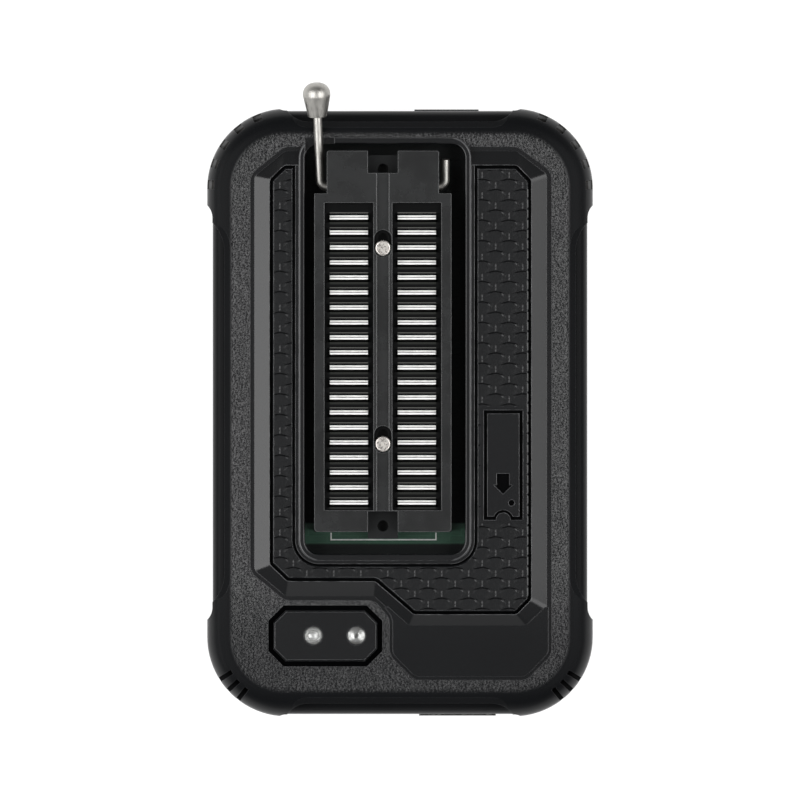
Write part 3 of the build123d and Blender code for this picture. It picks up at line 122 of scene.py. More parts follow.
# ---- low ridges at the ends of the scales, along the panel's right edge --------------------------
RIDGE_X = 21.6
RIDGE_WIDTH = 0.24
RIDGE_HEIGHT = 0.045
RIDGE_GAP = 0.4
RIDGE_SPAN = (-31.0, 38.6)

# ---- finish of every plastic ---------------------------------------------------------------------
BLACK_PLASTIC = (0.0048, 0.0051, 0.0057)
CLOUD_SCALE = 55.0
CLOUD_LIFT = 1.12
# share of the painted edge highlight that is mixed into a plastic's colour along its edges
EDGE_HIGHLIGHT_SHARE = 0.6
EDGE_TURN = (0.995, 0.86)
PLASTIC_SHINE = 0.5

# ---- the case's flat top, a rounded rectangle from which its fades are measured outwards ---------
FLAT_X = 28.5
FLAT_Y = 47.35
FLAT_RADIUS = 9.3

# ---- finish of the case: grain on the flat top, softer plastic on the roll round it --------------
CASE_ROUGHNESS = 0.2
ROLL_DULLNESS = 0.12
ROLL_DULLNESS_FADE = (0.0, 0.5)
CASE_EDGE = 0.16
UPWARD = (0.97, 0.995)
GRAIN_SCALE = 2500.0
GRAIN_HEIGHT = 0.23
GRAIN_LEVEL = 0.03
GRAIN_START_FADE = (-0.1, 0.0)
GRAIN_END_FADE = (0.9, -1.0)
# each end's fade: two places along Y, and the share left beyond the outer one
GRAIN_LAMP_END = (-44.0, -24.0, 0.7)
GRAIN_LEVER_END = (36.0, 46.0, 0.75)
ROLL_SHINE = 0.04
ROLL_SHINE_FADE = (-0.4, 0.5)
OUTLINE_SHINE = 0.2
OUTLINE_SHINE_FADE = (1.8, 3.4)
# two places along Y, and the share left beyond the outer one
LAMP_END_SHINE = (-42.0, -26.0, 0.7)

# ---- painted tones of the case: shade in grooves, light on grip marks, highlights on edges and pocket rim ---
# painted shade on the groove floors: their colour is darkened and their specular lowered
PAINTED_GROOVE_SHADE = 0.3
GROOVE_SHINE_LOSS = 0.45
GROOVE_SOFT = 0.02
GROOVE_FADE = (0.2, 0.0)
# heights from the case's top
PANEL_GROOVE = (0.06, 0.5)
LAMP_GROOVE = (-1.1, -0.9)
# the grip marks' depth under the case's top, and the reach of their painted light up and down
PAD_DROP = 5.4
PAD_BAND = 0.1
# painted light on the grip marks' shaded floors, with a painted reflection stripe in them
PAD_FLOOR_PAINTED_LIGHT = (0.05, 0.048, 0.046)
# low, high and softness, outside the flat top
PAD_REFLECTION_STRIPE = (3.5, 3.85, 0.1)
PAD_REFLECTION_COLOUR = (0.16, 0.16, 0.16)
# heights from the case's top
# a patchy painted highlight on the case's raised edges, above these heights
EDGE_GLINT_FADE = (0.8, 0.9)
EDGE_GLINT_PATCH_SCALE = 520.0
EDGE_GLINT_COLOUR = (0.18, 0.183, 0.188)
# depths under the rim's top
RIM_BAND = (0.24, 0.02)
RIM_OUTWARD = (0.5, 1.5)
# painted highlight on the rim's outer edge
RIM_HIGHLIGHT_COLOUR = (0.06, 0.061, 0.063)

# ---- finish of the socket; phases run from one contact's upper side, 0, to the next one's, 1 -----
ROW_PITCH = 2.54
ROW_COUNT = 20
ROW_START = 0.6
# sideways from the socket's middle
COLUMN_INNER = 2.55
COLUMN_OUTER = 8.95
SOCKET_SOFT = 0.1
SOCKET_EDGE = 0.18
SOCKET_ROUGHNESS = 0.24
# depths under the socket's top
SATIN_DROP = 0.4
RIB_DROP = 0.7
RIB_FOOT_DROP = 2.0
SATIN_SHADES = (0.75, 1.4)
RIB_UPWARD = (0.3, 0.7)
# painted lit band and painted highlight line on the ribs between the contacts
RIB_LIT_BAND_PHASE = (0.66, 0.5)
RIB_PAINTED_LIT_BAND = (0.024, 0.025, 0.023)
RIB_HIGHLIGHT_START = (0.80, 0.82)
RIB_HIGHLIGHT_END = (0.88, 0.86)
RIB_HIGHLIGHT_COLOUR = (0.09, 0.09, 0.085)
# below the socket's top: painted light away from the ribs, painted shade on the ribs
BELOW_TOP_PAINTED_LIGHT = 1.5
DULL_SHINE = 0.1
RIB_PAINTED_SHADE = 0.3
# where along each contact's pitch the painted shade begins
CONTACT_SHADE_PHASE = (0.265, 0.31)
CONTACT_EDGE = 0.14

# ---- finish of the plated metals -----------------------------------------------------------------
TIN_WHITE = (0.72, 0.72, 0.70)
PLATED_EDGE = 0.05
PLATED_TARNISH = 0.88
SMEAR_DULLNESS = (0.8, 1.25)

# ---- the board: green in a lit window, painted near-black shade round it, tracks, and a printed bracket ---
# painted shade over the board outside the lit window
BOARD_PAINTED_SHADE = (0.012, 0.014, 0.014)
BOARD_GREEN = ((0.018, 0.068, 0.040), (0.024, 0.088, 0.052))
TRACK_GREEN = (0.036, 0.12, 0.07)
TRACK_LENGTH = 5.2
TRACK_PITCH = 1.1
TRACK_GAP = 0.12
TRACK_STAGGER = 0.37
TRACK_HEIGHT = 0.02
# low, high and softness, along Y
LIT_WINDOW = (-22.1, -19.0, 0.4)
BOARD_SHINE = 0.12
WINDOW_SHINE = 0.3
MARK_LEFT = -11.7
MARK_RIGHT = 6.1
MARK_Y = -21.6
MARK_TICK = 1.2
MARK_WIDTH = 0.22
MARK_THICKNESS = 0.02

# ---- painted shade line along the USB shell's face -----------------------------------------------
USB_SHADE_LINE = 0.22
USB_SHADE_SOFT = 0.04
USB_SHADE_COLOUR = (0.01, 0.01, 0.01)

# ---- reflectors in the lamps: (radius, depth under the lamp's top) -------------------------------
RINGED_REFLECTOR = [
    (1.3, 3.6), (1.44, 1.85), (1.2, 1.8), (0.95, 1.95), (0.85, 1.85), (0.55, 2.0), (0.45, 1.92),
    (0.2, 2.0), (0.02, 2.0),
]
CONE_REFLECTOR = [
    (1.3, 3.6), (1.44, 1.85), (1.2, 1.8), (1.05, 1.86), (0.2, 2.1), (0.13, 3.2), (0.02, 3.2),
]


# ---- node helpers --------------------------------------------------------------------------------
def add_node(tree, kind, inputs=None, **settings):
    """Add a shader node, set its properties, and fill or link its inputs."""
    made = tree.nodes.new("ShaderNode" + kind)
    for key, value in settings.items():
        setattr(made, key, value)
    for key, value in (inputs or {}).items():
        if isinstance(value, bpy.types.NodeSocket):
            tree.links.new(value, made.inputs[key])
        else:
            made.inputs[key].default_value = value
    return made


def new_material(name):
    """Return an empty node material and its tree."""
    made = bpy.data.materials.new(name)
    made.use_nodes = True
    made.node_tree.nodes.clear()
    return made, made.node_tree


def finish_material(tree, shader):
    """Connect a shader to the material's output."""
    tree.links.new(shader, add_node(tree, "OutputMaterial").inputs["Surface"])


def principled(tree, **inputs):
    """Return the output of a Principled shader."""
    names = {key.replace("_", " "): value for key, value in inputs.items()}
    return add_node(tree, "BsdfPrincipled", names).outputs["BSDF"]


def math_node(tree, operation, a, b=0.0, clamp=False):
    """Return the result of a one-step calculation on values or sockets."""
    return add_node(tree, "Math", {0: a, 1: b}, operation=operation, use_clamp=clamp).outputs[0]


def product(tree, *factors):
    """Return several values or sockets multiplied together, from left to right."""
    total = factors[0]
    for factor in factors[1:]:
        total = math_node(tree, "MULTIPLY", total, factor)
    return total


def ramp(tree, value, low, high, out_low=0.0, out_high=1.0):
    """Return a smooth change from one value to another between two limits."""
    made = add_node(tree, "MapRange", {0: value, 1: low, 2: high, 3: out_low, 4: out_high},
                    interpolation_type="SMOOTHSTEP")
    return made.outputs[0]


def fade(tree, length, start, end, out_start=0.0, out_end=1.0):
    """Return a smooth change over a length in metres, between two places in millimetres."""
    return ramp(tree, length, start * MM, end * MM, out_start, out_end)


def band(tree, length, low, high, soft):
    """Return 1 where a length in metres lies between two limits in millimetres, with soft ends."""
    rise = fade(tree, length, low - soft, low)
    fall = fade(tree, length, high, high + soft, 1.0, 0.0)
    return product(tree, rise, fall)


def shade(colour, factor):
    """Return a colour made lighter or darker by a factor."""
    return tuple(channel * factor for channel in colour)


def mix_colour(tree, factor, a, b):
    """Return a blend of two colours, each a socket or three numbers."""
    made = add_node(tree, "Mix", data_type="RGBA")
    if isinstance(factor, bpy.types.NodeSocket):
        tree.links.new(factor, made.inputs[0])
    else:
        made.inputs[0].default_value = factor
    for index, colour in ((6, a), (7, b)):
        if isinstance(colour, bpy.types.NodeSocket):
            tree.links.new(colour, made.inputs[index])
        else:
            made.inputs[index].default_value = (*colour, 1)
    return made.outputs[2]


def noise(tree, coordinates, scale, detail, roughness=0.5, distortion=0.0):
    """Return a noise value in the object's own space; scale is features per metre."""
    made = add_node(tree, "TexNoise", {"Vector": coordinates, "Scale": scale, "Detail": detail,
                                       "Roughness": roughness, "Distortion": distortion})
    return made.outputs["Fac"]


def bump(tree, height, distance, normal=None):
    """Return a normal shifted by a height, with the height's full swing in millimetres."""
    inputs = {"Height": height, "Distance": distance * MM}
    if normal is not None:
        inputs["Normal"] = normal
    return add_node(tree, "Bump", inputs).outputs["Normal"]


def object_space(tree):
    """Return the object's own coordinates, which are the frame's."""
    return add_node(tree, "TexCoord").outputs["Object"]


def surface_normal(tree):
    """Return the normal of the surface as it is, without bumps or rounded edges."""
    return add_node(tree, "NewGeometry").outputs["Normal"]


def components(tree, vector):
    """Return the outputs X, Y and Z of a vector."""
    return add_node(tree, "SeparateXYZ", {"Vector": vector}).outputs


def rounded_edges(tree, radius):
    """Return a normal that rounds sharp edges, and a mask that is 1 along them."""
    rounded = add_node(tree, "Bevel", {"Radius": radius * MM}, samples=4).outputs["Normal"]
    normals = {0: rounded, 1: surface_normal(tree)}
    facing = add_node(tree, "VectorMath", normals, operation="DOT_PRODUCT").outputs["Value"]
    return rounded, ramp(tree, facing, *EDGE_TURN)


# ---- plastics ------------------------------------------------------------------------------------
def uneven_colour(tree, place, colour):
    """Return a colour with faint broad clouds in it."""
    clouds = noise(tree, place, scale=CLOUD_SCALE, detail=3.0)
    return mix_colour(tree, ramp(tree, clouds, low=0.35, high=0.65), colour, shade(colour, CLOUD_LIFT))


def moulded_plastic(name, colour, edge_highlight_colour, roughness, edge=0.12, texture=0.002,
                    texture_scale=5200.0):
    """Return a moulded plastic: satin and faintly uneven, with a painted highlight along its edges."""
    made, tree = new_material(name)
    place = object_space(tree)
    fine = noise(tree, place, texture_scale, detail=2.0)
    rounded, on_edge = rounded_edges(tree, edge)
    base = uneven_colour(tree, place, colour)
    # painted highlight: a lighter colour along the edges
    base = mix_colour(tree, product(tree, on_edge, EDGE_HIGHLIGHT_SHARE), base, edge_highlight_colour)
    finish_material(tree, principled(tree, Base_Color=base, Roughness=roughness,
                                     Normal=bump(tree, fine, texture, rounded)))
    return made


def row_phase(tree, axes):
    """Return how far a point is from one contact's upper side to the next one's, from 0 to 1."""
    offset = math_node(tree, "SUBTRACT", FIRST_CONTACT_Y * MM, axes["Y"])
    return math_node(tree, "FRACT", math_node(tree, "DIVIDE", offset, ROW_PITCH * MM))


def contact_columns(tree, axes):
    """Return a mask of the two columns of cells that the contacts stand in, seen from above."""
    sideways = math_node(tree, "ABSOLUTE", math_node(tree, "SUBTRACT", axes["X"], SOCKET_X * MM))
    across = band(tree, sideways, COLUMN_INNER, COLUMN_OUTER, SOCKET_SOFT)
    rows_end = FIRST_CONTACT_Y - ROW_COUNT * ROW_PITCH
    along = band(tree, axes["Y"], rows_end, FIRST_CONTACT_Y + ROW_START, SOCKET_SOFT)
    return product(tree, across, along)


def painted_rib_light_and_shade(tree, axes, colour):
    """Return painted light and shade below the socket's top: painted shade on the ribs and upward
    faces, with a painted lit grey band and a thin painted highlight line between the contacts, and
    painted light elsewhere.
    """
    ribs = band(tree, axes["Z"], SOCKET_TOP - RIB_FOOT_DROP, SOCKET_TOP - RIB_DROP, SOCKET_SOFT)
    phase = row_phase(tree, axes)
    grey = ramp(tree, phase, *RIB_LIT_BAND_PHASE)
    line = product(tree, ramp(tree, phase, *RIB_HIGHLIGHT_START), ramp(tree, phase, *RIB_HIGHLIGHT_END))
    columns = contact_columns(tree, axes)
    upward = ramp(tree, components(tree, surface_normal(tree))["Z"], *RIB_UPWARD)
    # painted shade on the ribs and upward faces, painted light on the other surfaces below the top
    dark = product(tree, ribs, math_node(tree, "MAXIMUM", columns, upward))
    base = mix_colour(tree, dark, shade(colour, BELOW_TOP_PAINTED_LIGHT), shade(colour, RIB_PAINTED_SHADE))
    # painted lit grey band across each rib
    base = mix_colour(tree, product(tree, ribs, columns, grey), base, RIB_PAINTED_LIT_BAND)
    # thin painted highlight line on each rib
    return mix_colour(tree, product(tree, ribs, columns, line), base, RIB_HIGHLIGHT_COLOUR)


def socket_plastic(name, colour, edge_highlight_colour):
    """Return the chip socket's plastic: satin on top with a painted edge highlight, and dull below,
    with painted light there and painted shade between the contacts.
    """
    made, tree = new_material(name)
    place = object_space(tree)
    axes = components(tree, place)
    fine = noise(tree, place, scale=3800.0, detail=2.0)
    rounded, on_edge = rounded_edges(tree, SOCKET_EDGE)
    blotches = noise(tree, place, scale=170.0, detail=4.0, roughness=0.6)
    dark, light = [shade(colour, factor) for factor in SATIN_SHADES]
    satin = mix_colour(tree, ramp(tree, blotches, low=0.36, high=0.64), dark, light)
    # painted highlight: a lighter colour along the socket's edges
    satin = mix_colour(tree, on_edge, satin, edge_highlight_colour)
    top = fade(tree, axes["Z"], SOCKET_TOP - RIB_DROP, SOCKET_TOP - SATIN_DROP)
    base = mix_colour(tree, top, painted_rib_light_and_shade(tree, axes, colour), satin)
    shine = ramp(tree, top, 0.0, 1.0, DULL_SHINE, PLASTIC_SHINE)
    finish_material(tree, principled(tree, Base_Color=base, Roughness=SOCKET_ROUGHNESS,
                                     Specular_IOR_Level=shine, Normal=bump(tree, fine, 0.006, rounded)))
    return made


def outside_flat(tree, axes):
    """Return how far a point lies outside the case's flat top, in metres; inside it is negative."""
    past_x, past_y = [math_node(tree, "SUBTRACT", math_node(tree, "ABSOLUTE", axes[axis]), limit * MM)
                      for axis, limit in (("X", FLAT_X - FLAT_RADIUS), ("Y", FLAT_Y - FLAT_RADIUS))]
    outer = add_node(tree, "CombineXYZ", {"X": math_node(tree, "MAXIMUM", past_x, 0.0),
                                          "Y": math_node(tree, "MAXIMUM", past_y, 0.0)}).outputs[0]
    reach = add_node(tree, "VectorMath", {0: outer}, operation="LENGTH").outputs["Value"]
    inner = math_node(tree, "MINIMUM", math_node(tree, "MAXIMUM", past_x, past_y), 0.0)
    return math_node(tree, "SUBTRACT", math_node(tree, "ADD", reach, inner), FLAT_RADIUS * MM)


def case_grain(tree, place, away, upward):
    """Return the grain's height: full on the flat top, less near its ends, none down the roll."""
    axes = components(tree, place)
    grain = noise(tree, place, GRAIN_SCALE, detail=1.5, roughness=0.5, distortion=0.4)
    level = band(tree, axes["Z"], CASE_TOP - GRAIN_LEVEL, CASE_TOP + GRAIN_LEVEL, GRAIN_LEVEL)
    lamp_low, lamp_high, at_lamps = GRAIN_LAMP_END
    lever_low, lever_high, at_lever = GRAIN_LEVER_END
    strength = product(tree, math_node(tree, "MAXIMUM", level, fade(tree, away, *GRAIN_START_FADE)),
                       fade(tree, away, *GRAIN_END_FADE),
                       fade(tree, axes["Y"], lamp_low, lamp_high, at_lamps, 1.0),
                       fade(tree, axes["Y"], lever_low, lever_high, 1.0, at_lever), upward)
    return product(tree, grain, strength)


def case_grooves(tree, axes, away, upward):
    """Return a mask of the groove floors, inside the panel's crest and round the lamp plate."""
    panel_low, panel_high = PANEL_GROOVE
    lamp_low, lamp_high = LAMP_GROOVE
    panel = band(tree, axes["Z"], CASE_TOP + panel_low, CASE_TOP + panel_high, GROOVE_SOFT)
    lamp = band(tree, axes["Z"], CASE_TOP + lamp_low, CASE_TOP + lamp_high, GROOVE_SOFT)
    return product(tree, upward, math_node(tree, "ADD", panel, lamp), fade(tree, away, *GROOVE_FADE))


def rim_highlight_mask(tree, axes, normal):
    """Return a mask of the outer edge of the rim that stands round the socket's pocket, where a painted
    highlight goes.
    """
    low, high = RIM_BAND
    from_socket = math_node(tree, "SUBTRACT", axes["X"], SOCKET_X * MM)
    outward = fade(tree, product(tree, from_socket, normal["X"]), *RIM_OUTWARD)
    level = band(tree, axes["Z"], RIM_TOP - low, RIM_TOP - high, GROOVE_SOFT)
    return product(tree, outward, level)


def case_colour(tree, place, colour, edge_highlight_colour, on_edge, away, groove):
    """Return the case's colour, with painted highlights along its edges and the rim's outer edge,
    painted shade in the grooves, and painted light and a painted reflection on the grip marks' floors.
    """
    axes = components(tree, place)
    normal = components(tree, surface_normal(tree))
    low, high = EDGE_GLINT_FADE
    patchy_edge_glint = product(tree, ramp(tree, noise(tree, place, EDGE_GLINT_PATCH_SCALE, detail=2.0), low=0.3, high=0.6),
                   fade(tree, axes["Z"], CASE_TOP + low, CASE_TOP + high))
    pad_z = CASE_TOP - PAD_DROP
    pad_floor = product(tree, ramp(tree, normal["Z"], *UPWARD),
                        band(tree, axes["Z"], pad_z - PAD_BAND, pad_z + PAD_BAND, GROOVE_SOFT))
    base = uneven_colour(tree, place, colour)
    # painted highlight: a lighter colour along the case's edges
    base = mix_colour(tree, product(tree, on_edge, EDGE_HIGHLIGHT_SHARE), base, edge_highlight_colour)
    # painted highlight: patchy light colour on the raised edges
    base = mix_colour(tree, product(tree, on_edge, patchy_edge_glint), base, EDGE_GLINT_COLOUR)
    # painted highlight along the rim's outer edge
    base = mix_colour(tree, rim_highlight_mask(tree, axes, normal), base, RIM_HIGHLIGHT_COLOUR)
    # painted shade on the groove floors
    base = mix_colour(tree, groove, base, shade(colour, PAINTED_GROOVE_SHADE))
    # painted light on the grip marks' floors, with a painted reflection stripe
    painted_pad_light = mix_colour(tree, band(tree, away, *PAD_REFLECTION_STRIPE), PAD_FLOOR_PAINTED_LIGHT, PAD_REFLECTION_COLOUR)
    return mix_colour(tree, pad_floor, base, painted_pad_light)


def case_shine(tree, axes, away, groove):
    """Return the case's specular level: low on the roll, in the grooves and towards the lamp end."""
    low, high, at_lamps = LAMP_END_SHINE
    shine = fade(tree, away, *ROLL_SHINE_FADE, PLASTIC_SHINE, ROLL_SHINE)
    shine = product(tree, shine, fade(tree, axes["Y"], low, high, at_lamps, 1.0))
    outline = fade(tree, away, *OUTLINE_SHINE_FADE, 0.0, OUTLINE_SHINE - ROLL_SHINE)
    shine = math_node(tree, "ADD", shine, outline)
    return math_node(tree, "SUBTRACT", shine, product(tree, groove, GROOVE_SHINE_LOSS), clamp=True)


def case_plastic(name, colour, edge_highlight_colour):
    """Return the case's plastic: satin panel, grained flat top, soft roll, and dull groove floors with
    painted shade.
    """
    made, tree = new_material(name)
    place = object_space(tree)
    axes = components(tree, place)
    away = outside_flat(tree, axes)
    upward = ramp(tree, components(tree, surface_normal(tree))["Z"], *UPWARD)
    rounded, on_edge = rounded_edges(tree, CASE_EDGE)
    groove = case_grooves(tree, axes, away, upward)
    base = case_colour(tree, place, colour, edge_highlight_colour, on_edge, away, groove)
    dullness = fade(tree, away, *ROLL_DULLNESS_FADE, CASE_ROUGHNESS, CASE_ROUGHNESS + ROLL_DULLNESS)
    grain = case_grain(tree, place, away, upward)
    finish_material(tree, principled(tree, Base_Color=base, Roughness=dullness,
                                     Specular_IOR_Level=case_shine(tree, axes, away, groove),
                                     Normal=bump(tree, grain, GRAIN_HEIGHT, rounded)))
    return made


def gap_black(name):
    """Return the near-black painted shade that fills a narrow gap."""
    made, tree = new_material(name)
    depth = noise(tree, object_space(tree), scale=900.0, detail=2.0)
    base = mix_colour(tree, depth, (0.001, 0.001, 0.0012), (0.002, 0.002, 0.0022))
    finish_material(tree, principled(tree, Base_Color=base, Roughness=0.6, Specular_IOR_Level=0.05))
    return made


def rubber(name, colour):
    """Return a dull, finely pitted rubber."""
    made, tree = new_material(name)
    pits = noise(tree, object_space(tree), scale=3500.0, detail=4.0)
    base = mix_colour(tree, ramp(tree, pits, low=0.3, high=0.7), colour, shade(colour, 1.6))
    finish_material(tree, principled(tree, Base_Color=base, Roughness=0.75,
                                     Normal=bump(tree, pits, 0.02)))
    return made


# ---- metals --------------------------------------------------------------------------------------
def plated_metal(name, colour, roughness, smear_height=0.001, smear_stretch=(1.0, 1.0, 1.0),
                 shaded_end=None):
    """Return a plated metal with faint smears, longer along an axis whose stretch is under 1.

    Below the place given for a shade line along Y, if there is one, it shows a line of painted shade.
    """
    made, tree = new_material(name)
    place = object_space(tree)
    stretched = add_node(tree, "Mapping", {"Vector": place, "Scale": smear_stretch}).outputs[0]
    smear = noise(tree, stretched, scale=2600.0, detail=3.0)
    clouds = noise(tree, place, scale=260.0, detail=3.0)
    rounded, _ = rounded_edges(tree, PLATED_EDGE)
    cloudy = ramp(tree, clouds, low=0.35, high=0.7)
    base = mix_colour(tree, cloudy, colour, shade(colour, PLATED_TARNISH))
    if shaded_end is not None:
        past_end = fade(tree, components(tree, place)["Y"], shaded_end, shaded_end - USB_SHADE_SOFT)
        # painted shade line along the shell's face
        base = mix_colour(tree, past_end, base, USB_SHADE_COLOUR)
    smooth, dull = [roughness * factor for factor in SMEAR_DULLNESS]
    finish_material(tree, principled(tree, Base_Color=base, Metallic=1.0,
                                     Roughness=ramp(tree, smear, 0.3, 0.7, smooth, dull),
                                     Normal=bump(tree, smear, smear_height, rounded)))
    return made


def contact_metal(name, colour, painted_shade_colour):
    """Return the contacts' bright plating, with painted shade towards the lower side of each contact.
    """
    made, tree = new_material(name)
    place = object_space(tree)
    clouds = noise(tree, place, scale=900.0, detail=3.0)
    rounded, _ = rounded_edges(tree, CONTACT_EDGE)
    phase = row_phase(tree, components(tree, place))
    base = mix_colour(tree, ramp(tree, clouds, low=0.3, high=0.7), colour, shade(colour, 0.85))
    # painted shade towards the lower side of each contact
    base = mix_colour(tree, ramp(tree, phase, *CONTACT_SHADE_PHASE), base, painted_shade_colour)
    finish_material(tree, principled(tree, Base_Color=base, Metallic=1.0, Roughness=0.5,
                                     Normal=rounded))
    return made


# ---- board, ink, lamps and floor -----------------------------------------------------------------
def circuit_board(name):
    """Return a green board with tracks, painted near-black as shade except in a lit window below the
    socket.
    """
    made, tree = new_material(name)
    place = object_space(tree)
    window = band(tree, components(tree, place)["Y"], *LIT_WINDOW)
    bricks = {"Vector": place, "Scale": 1.0, "Brick Width": TRACK_LENGTH * MM,
              "Row Height": TRACK_PITCH * MM, "Mortar Size": TRACK_GAP * MM,
              "Color1": (1, 1, 1, 1), "Color2": (0.6, 0.6, 0.6, 1), "Mortar": (0, 0, 0, 1)}
    tracks = add_node(tree, "TexBrick", bricks, offset=TRACK_STAGGER).outputs["Fac"]
    clouds = noise(tree, place, scale=300.0, detail=3.0)
    green = mix_colour(tree, ramp(tree, clouds, low=0.3, high=0.7), *BOARD_GREEN)
    green = mix_colour(tree, product(tree, tracks, 0.5), green, TRACK_GREEN)
    # painted shade: near-black and less shiny outside the lit window
    base = mix_colour(tree, window, BOARD_PAINTED_SHADE, green)
    shine = math_node(tree, "ADD", BOARD_SHINE, product(tree, window, WINDOW_SHINE))
    finish_material(tree, principled(tree, Base_Color=base, Roughness=0.35, Specular_IOR_Level=shine,
                                     Normal=bump(tree, tracks, TRACK_HEIGHT)))
    return made


def printed_ink(name):
    """Return slightly uneven white ink."""
    made, tree = new_material(name)
    patches = noise(tree, object_space(tree), scale=2200.0, detail=3.0)
    uneven = ramp(tree, patches, low=0.3, high=0.6)
    base = mix_colour(tree, uneven, (0.62, 0.66, 0.63), (0.80, 0.83, 0.80))
    finish_material(tree, principled(tree, Base_Color=base, Roughness=0.5))
    return made


def clear_resin(name):
    """Return the water-clear resin of a lamp, very faintly cloudy."""
    made, tree = new_material(name)
    haze = noise(tree, object_space(tree), scale=1500.0, detail=2.0)
    shine = ramp(tree, haze, 0.3, 0.7, 0.02, 0.06)
    finish_material(tree, principled(tree, Base_Color=(0.97, 0.98, 0.98, 1), Roughness=shine,
                                     Transmission_Weight=1.0, IOR=1.5))
    return made


def studio_floor(name):
    """Return a pale floor that shows as white and still keeps the object's shadow."""
    made, tree = new_material(name)
    rays = add_node(tree, "LightPath").outputs
    seen = math_node(tree, "MAXIMUM", rays["Is Camera Ray"], rays["Is Glossy Ray"])
    seen = math_node(tree, "MAXIMUM", seen, rays["Is Transmission Ray"])
    matt, faint = [add_node(tree, "BsdfDiffuse", {"Color": (grey, grey, grey, 1)}).outputs[0]
                   for grey in (FLOOR_GREY, SEEN_FLOOR_GREY)]
    glow = add_node(tree, "Emission", {"Color": (1, 1, 1, 1), "Strength": SEEN_FLOOR_GLOW}).outputs[0]
    white = add_node(tree, "AddShader", {0: faint, 1: glow}).outputs[0]
    finish_material(tree, add_node(tree, "MixShader", {0: seen, 1: matt, 2: white}).outputs[0])
    return made


# each plastic's second colour is the painted highlight along its edges
MATERIALS = {
    "case_plastic": case_plastic("case_plastic", BLACK_PLASTIC, (0.062, 0.063, 0.066)),
    "lamp_plate": moulded_plastic("lamp_plate", BLACK_PLASTIC, (0.24, 0.243, 0.248), 0.2, edge=0.14),
    "scale_plastic": moulded_plastic("scale_plastic", BLACK_PLASTIC, BLACK_PLASTIC, 0.22, edge=0.03),
    "gap_black": gap_black("gap_black"),
    "led_lens": clear_resin("led_lens"),
    "lamp_foil": plated_metal("lamp_foil", (0.62, 0.62, 0.61), 0.6),
    "lamp_cone": plated_metal("lamp_cone", (0.5, 0.5, 0.49), 0.45),
    "tinned_metal": plated_metal("tinned_metal", TIN_WHITE, 0.34),
    "socket_plastic": socket_plastic("socket_plastic", (0.0112, 0.0117, 0.0120), (0.15, 0.153, 0.155)),
    "rivet_metal": plated_metal("rivet_metal", (0.74, 0.70, 0.66), 0.28, smear_height=0.004),
    "contact_metal": contact_metal("contact_metal", (0.93, 0.93, 0.91), (0.09, 0.09, 0.08)),
    "lever_steel": plated_metal("lever_steel", (0.42, 0.41, 0.385), 0.4, smear_height=0.0003,
                                smear_stretch=(1.0, 0.12, 1.0)),
    "board_green": circuit_board("board_green"),
    "printed_ink": printed_ink("printed_ink"),
    "usb_metal": plated_metal("usb_metal", TIN_WHITE, 0.26, smear_height=0.0002,
                              shaded_end=USB_FACE_Y + USB_SHADE_LINE),
    "usb_plastic": moulded_plastic("usb_plastic", (0.010, 0.010, 0.011), (0.02, 0.02, 0.02), 0.4),
    "gold_contact": plated_metal("gold_contact", (0.83, 0.62, 0.28), 0.22),
    "header_plastic": moulded_plastic("header_plastic", (0.009, 0.009, 0.010), (0.3, 0.3, 0.3), 0.42,
                                      edge=0.3),
    "chip_plastic": moulded_plastic("chip_plastic", (0.016, 0.016, 0.017), (0.03, 0.03, 0.03), 0.5,
                                    texture=0.008, texture_scale=4200.0),
    "crystal_can": plated_metal("crystal_can", (0.74, 0.73, 0.70), 0.24),
    "can_aluminium": plated_metal("can_aluminium", (0.78, 0.79, 0.80), 0.3),
    "ferrite": rubber("ferrite", (0.03, 0.028, 0.027)),
    "screw_steel": plated_metal("screw_steel", (0.5, 0.5, 0.49), 0.3),
    "foot_rubber": rubber("foot_rubber", (0.012, 0.012, 0.012)),
    "studio_floor": studio_floor("studio_floor"),
}


# ---- mesh helpers --------------------------------------------------------------------------------
def link_object(name, data):
    """Return a new object in the scene, made from a mesh, a light or a camera."""
    made = bpy.data.objects.new(name, data)
    bpy.context.scene.collection.objects.link(made)
    return made


def make_object(name, points, faces, material=None, body=None, slot=None):
    """Make a mesh piece from points in millimetres, and let it ride on a body."""
    mesh = bpy.data.meshes.new(name)
    mesh.from_pydata([Vector(point) * MM for point in points], [], faces)
    mesh.validate()
    mesh.update()
    piece = link_object(name, mesh)
    if material is not None:
        mesh.materials.append(material)
    if body is not None:
        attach(piece, body)
    return piece


def ring(radius, height, steps):
    """Return the points of a level circle round the Z axis."""
    angles = [2 * math.pi * step / steps for step in range(steps)]
    return [(radius * math.cos(angle), radius * math.sin(angle), height) for angle in angles]


def prism(outline, z0, z1):
    """Return the points and faces of an upright prism on an outline that runs anticlockwise."""
    count = len(outline)
    points = [(x, y, z0) for x, y in outline] + [(x, y, z1) for x, y in outline]
    faces = [tuple(range(count - 1, -1, -1)), tuple(range(count, 2 * count))]
    for index in range(count):
        after = (index + 1) % count
        faces.append((index, after, count + after, count + index))
    return points, faces


def turned(profile, steps=40):
    """Return the points and faces of a closed turned shape, from (radius, height) pairs."""
    points = [point for radius, height in profile for point in ring(radius, height, steps)]
    faces = []
    for level in range(len(profile) - 1):
        for step in range(steps):
            after = (step + 1) % steps
            start = level * steps
            faces.append((start + step, start + after, start + steps + after, start + steps + step))
    faces.append(tuple(range(steps - 1, -1, -1)))
    faces.append(tuple(range(len(points) - steps, len(points))))
    return points, faces


def rectangle(x0, x1, y0, y1):
    """Return the outline of a rectangle, anticlockwise."""
    return [(x0, y0), (x1, y0), (x1, y1), (x0, y1)]


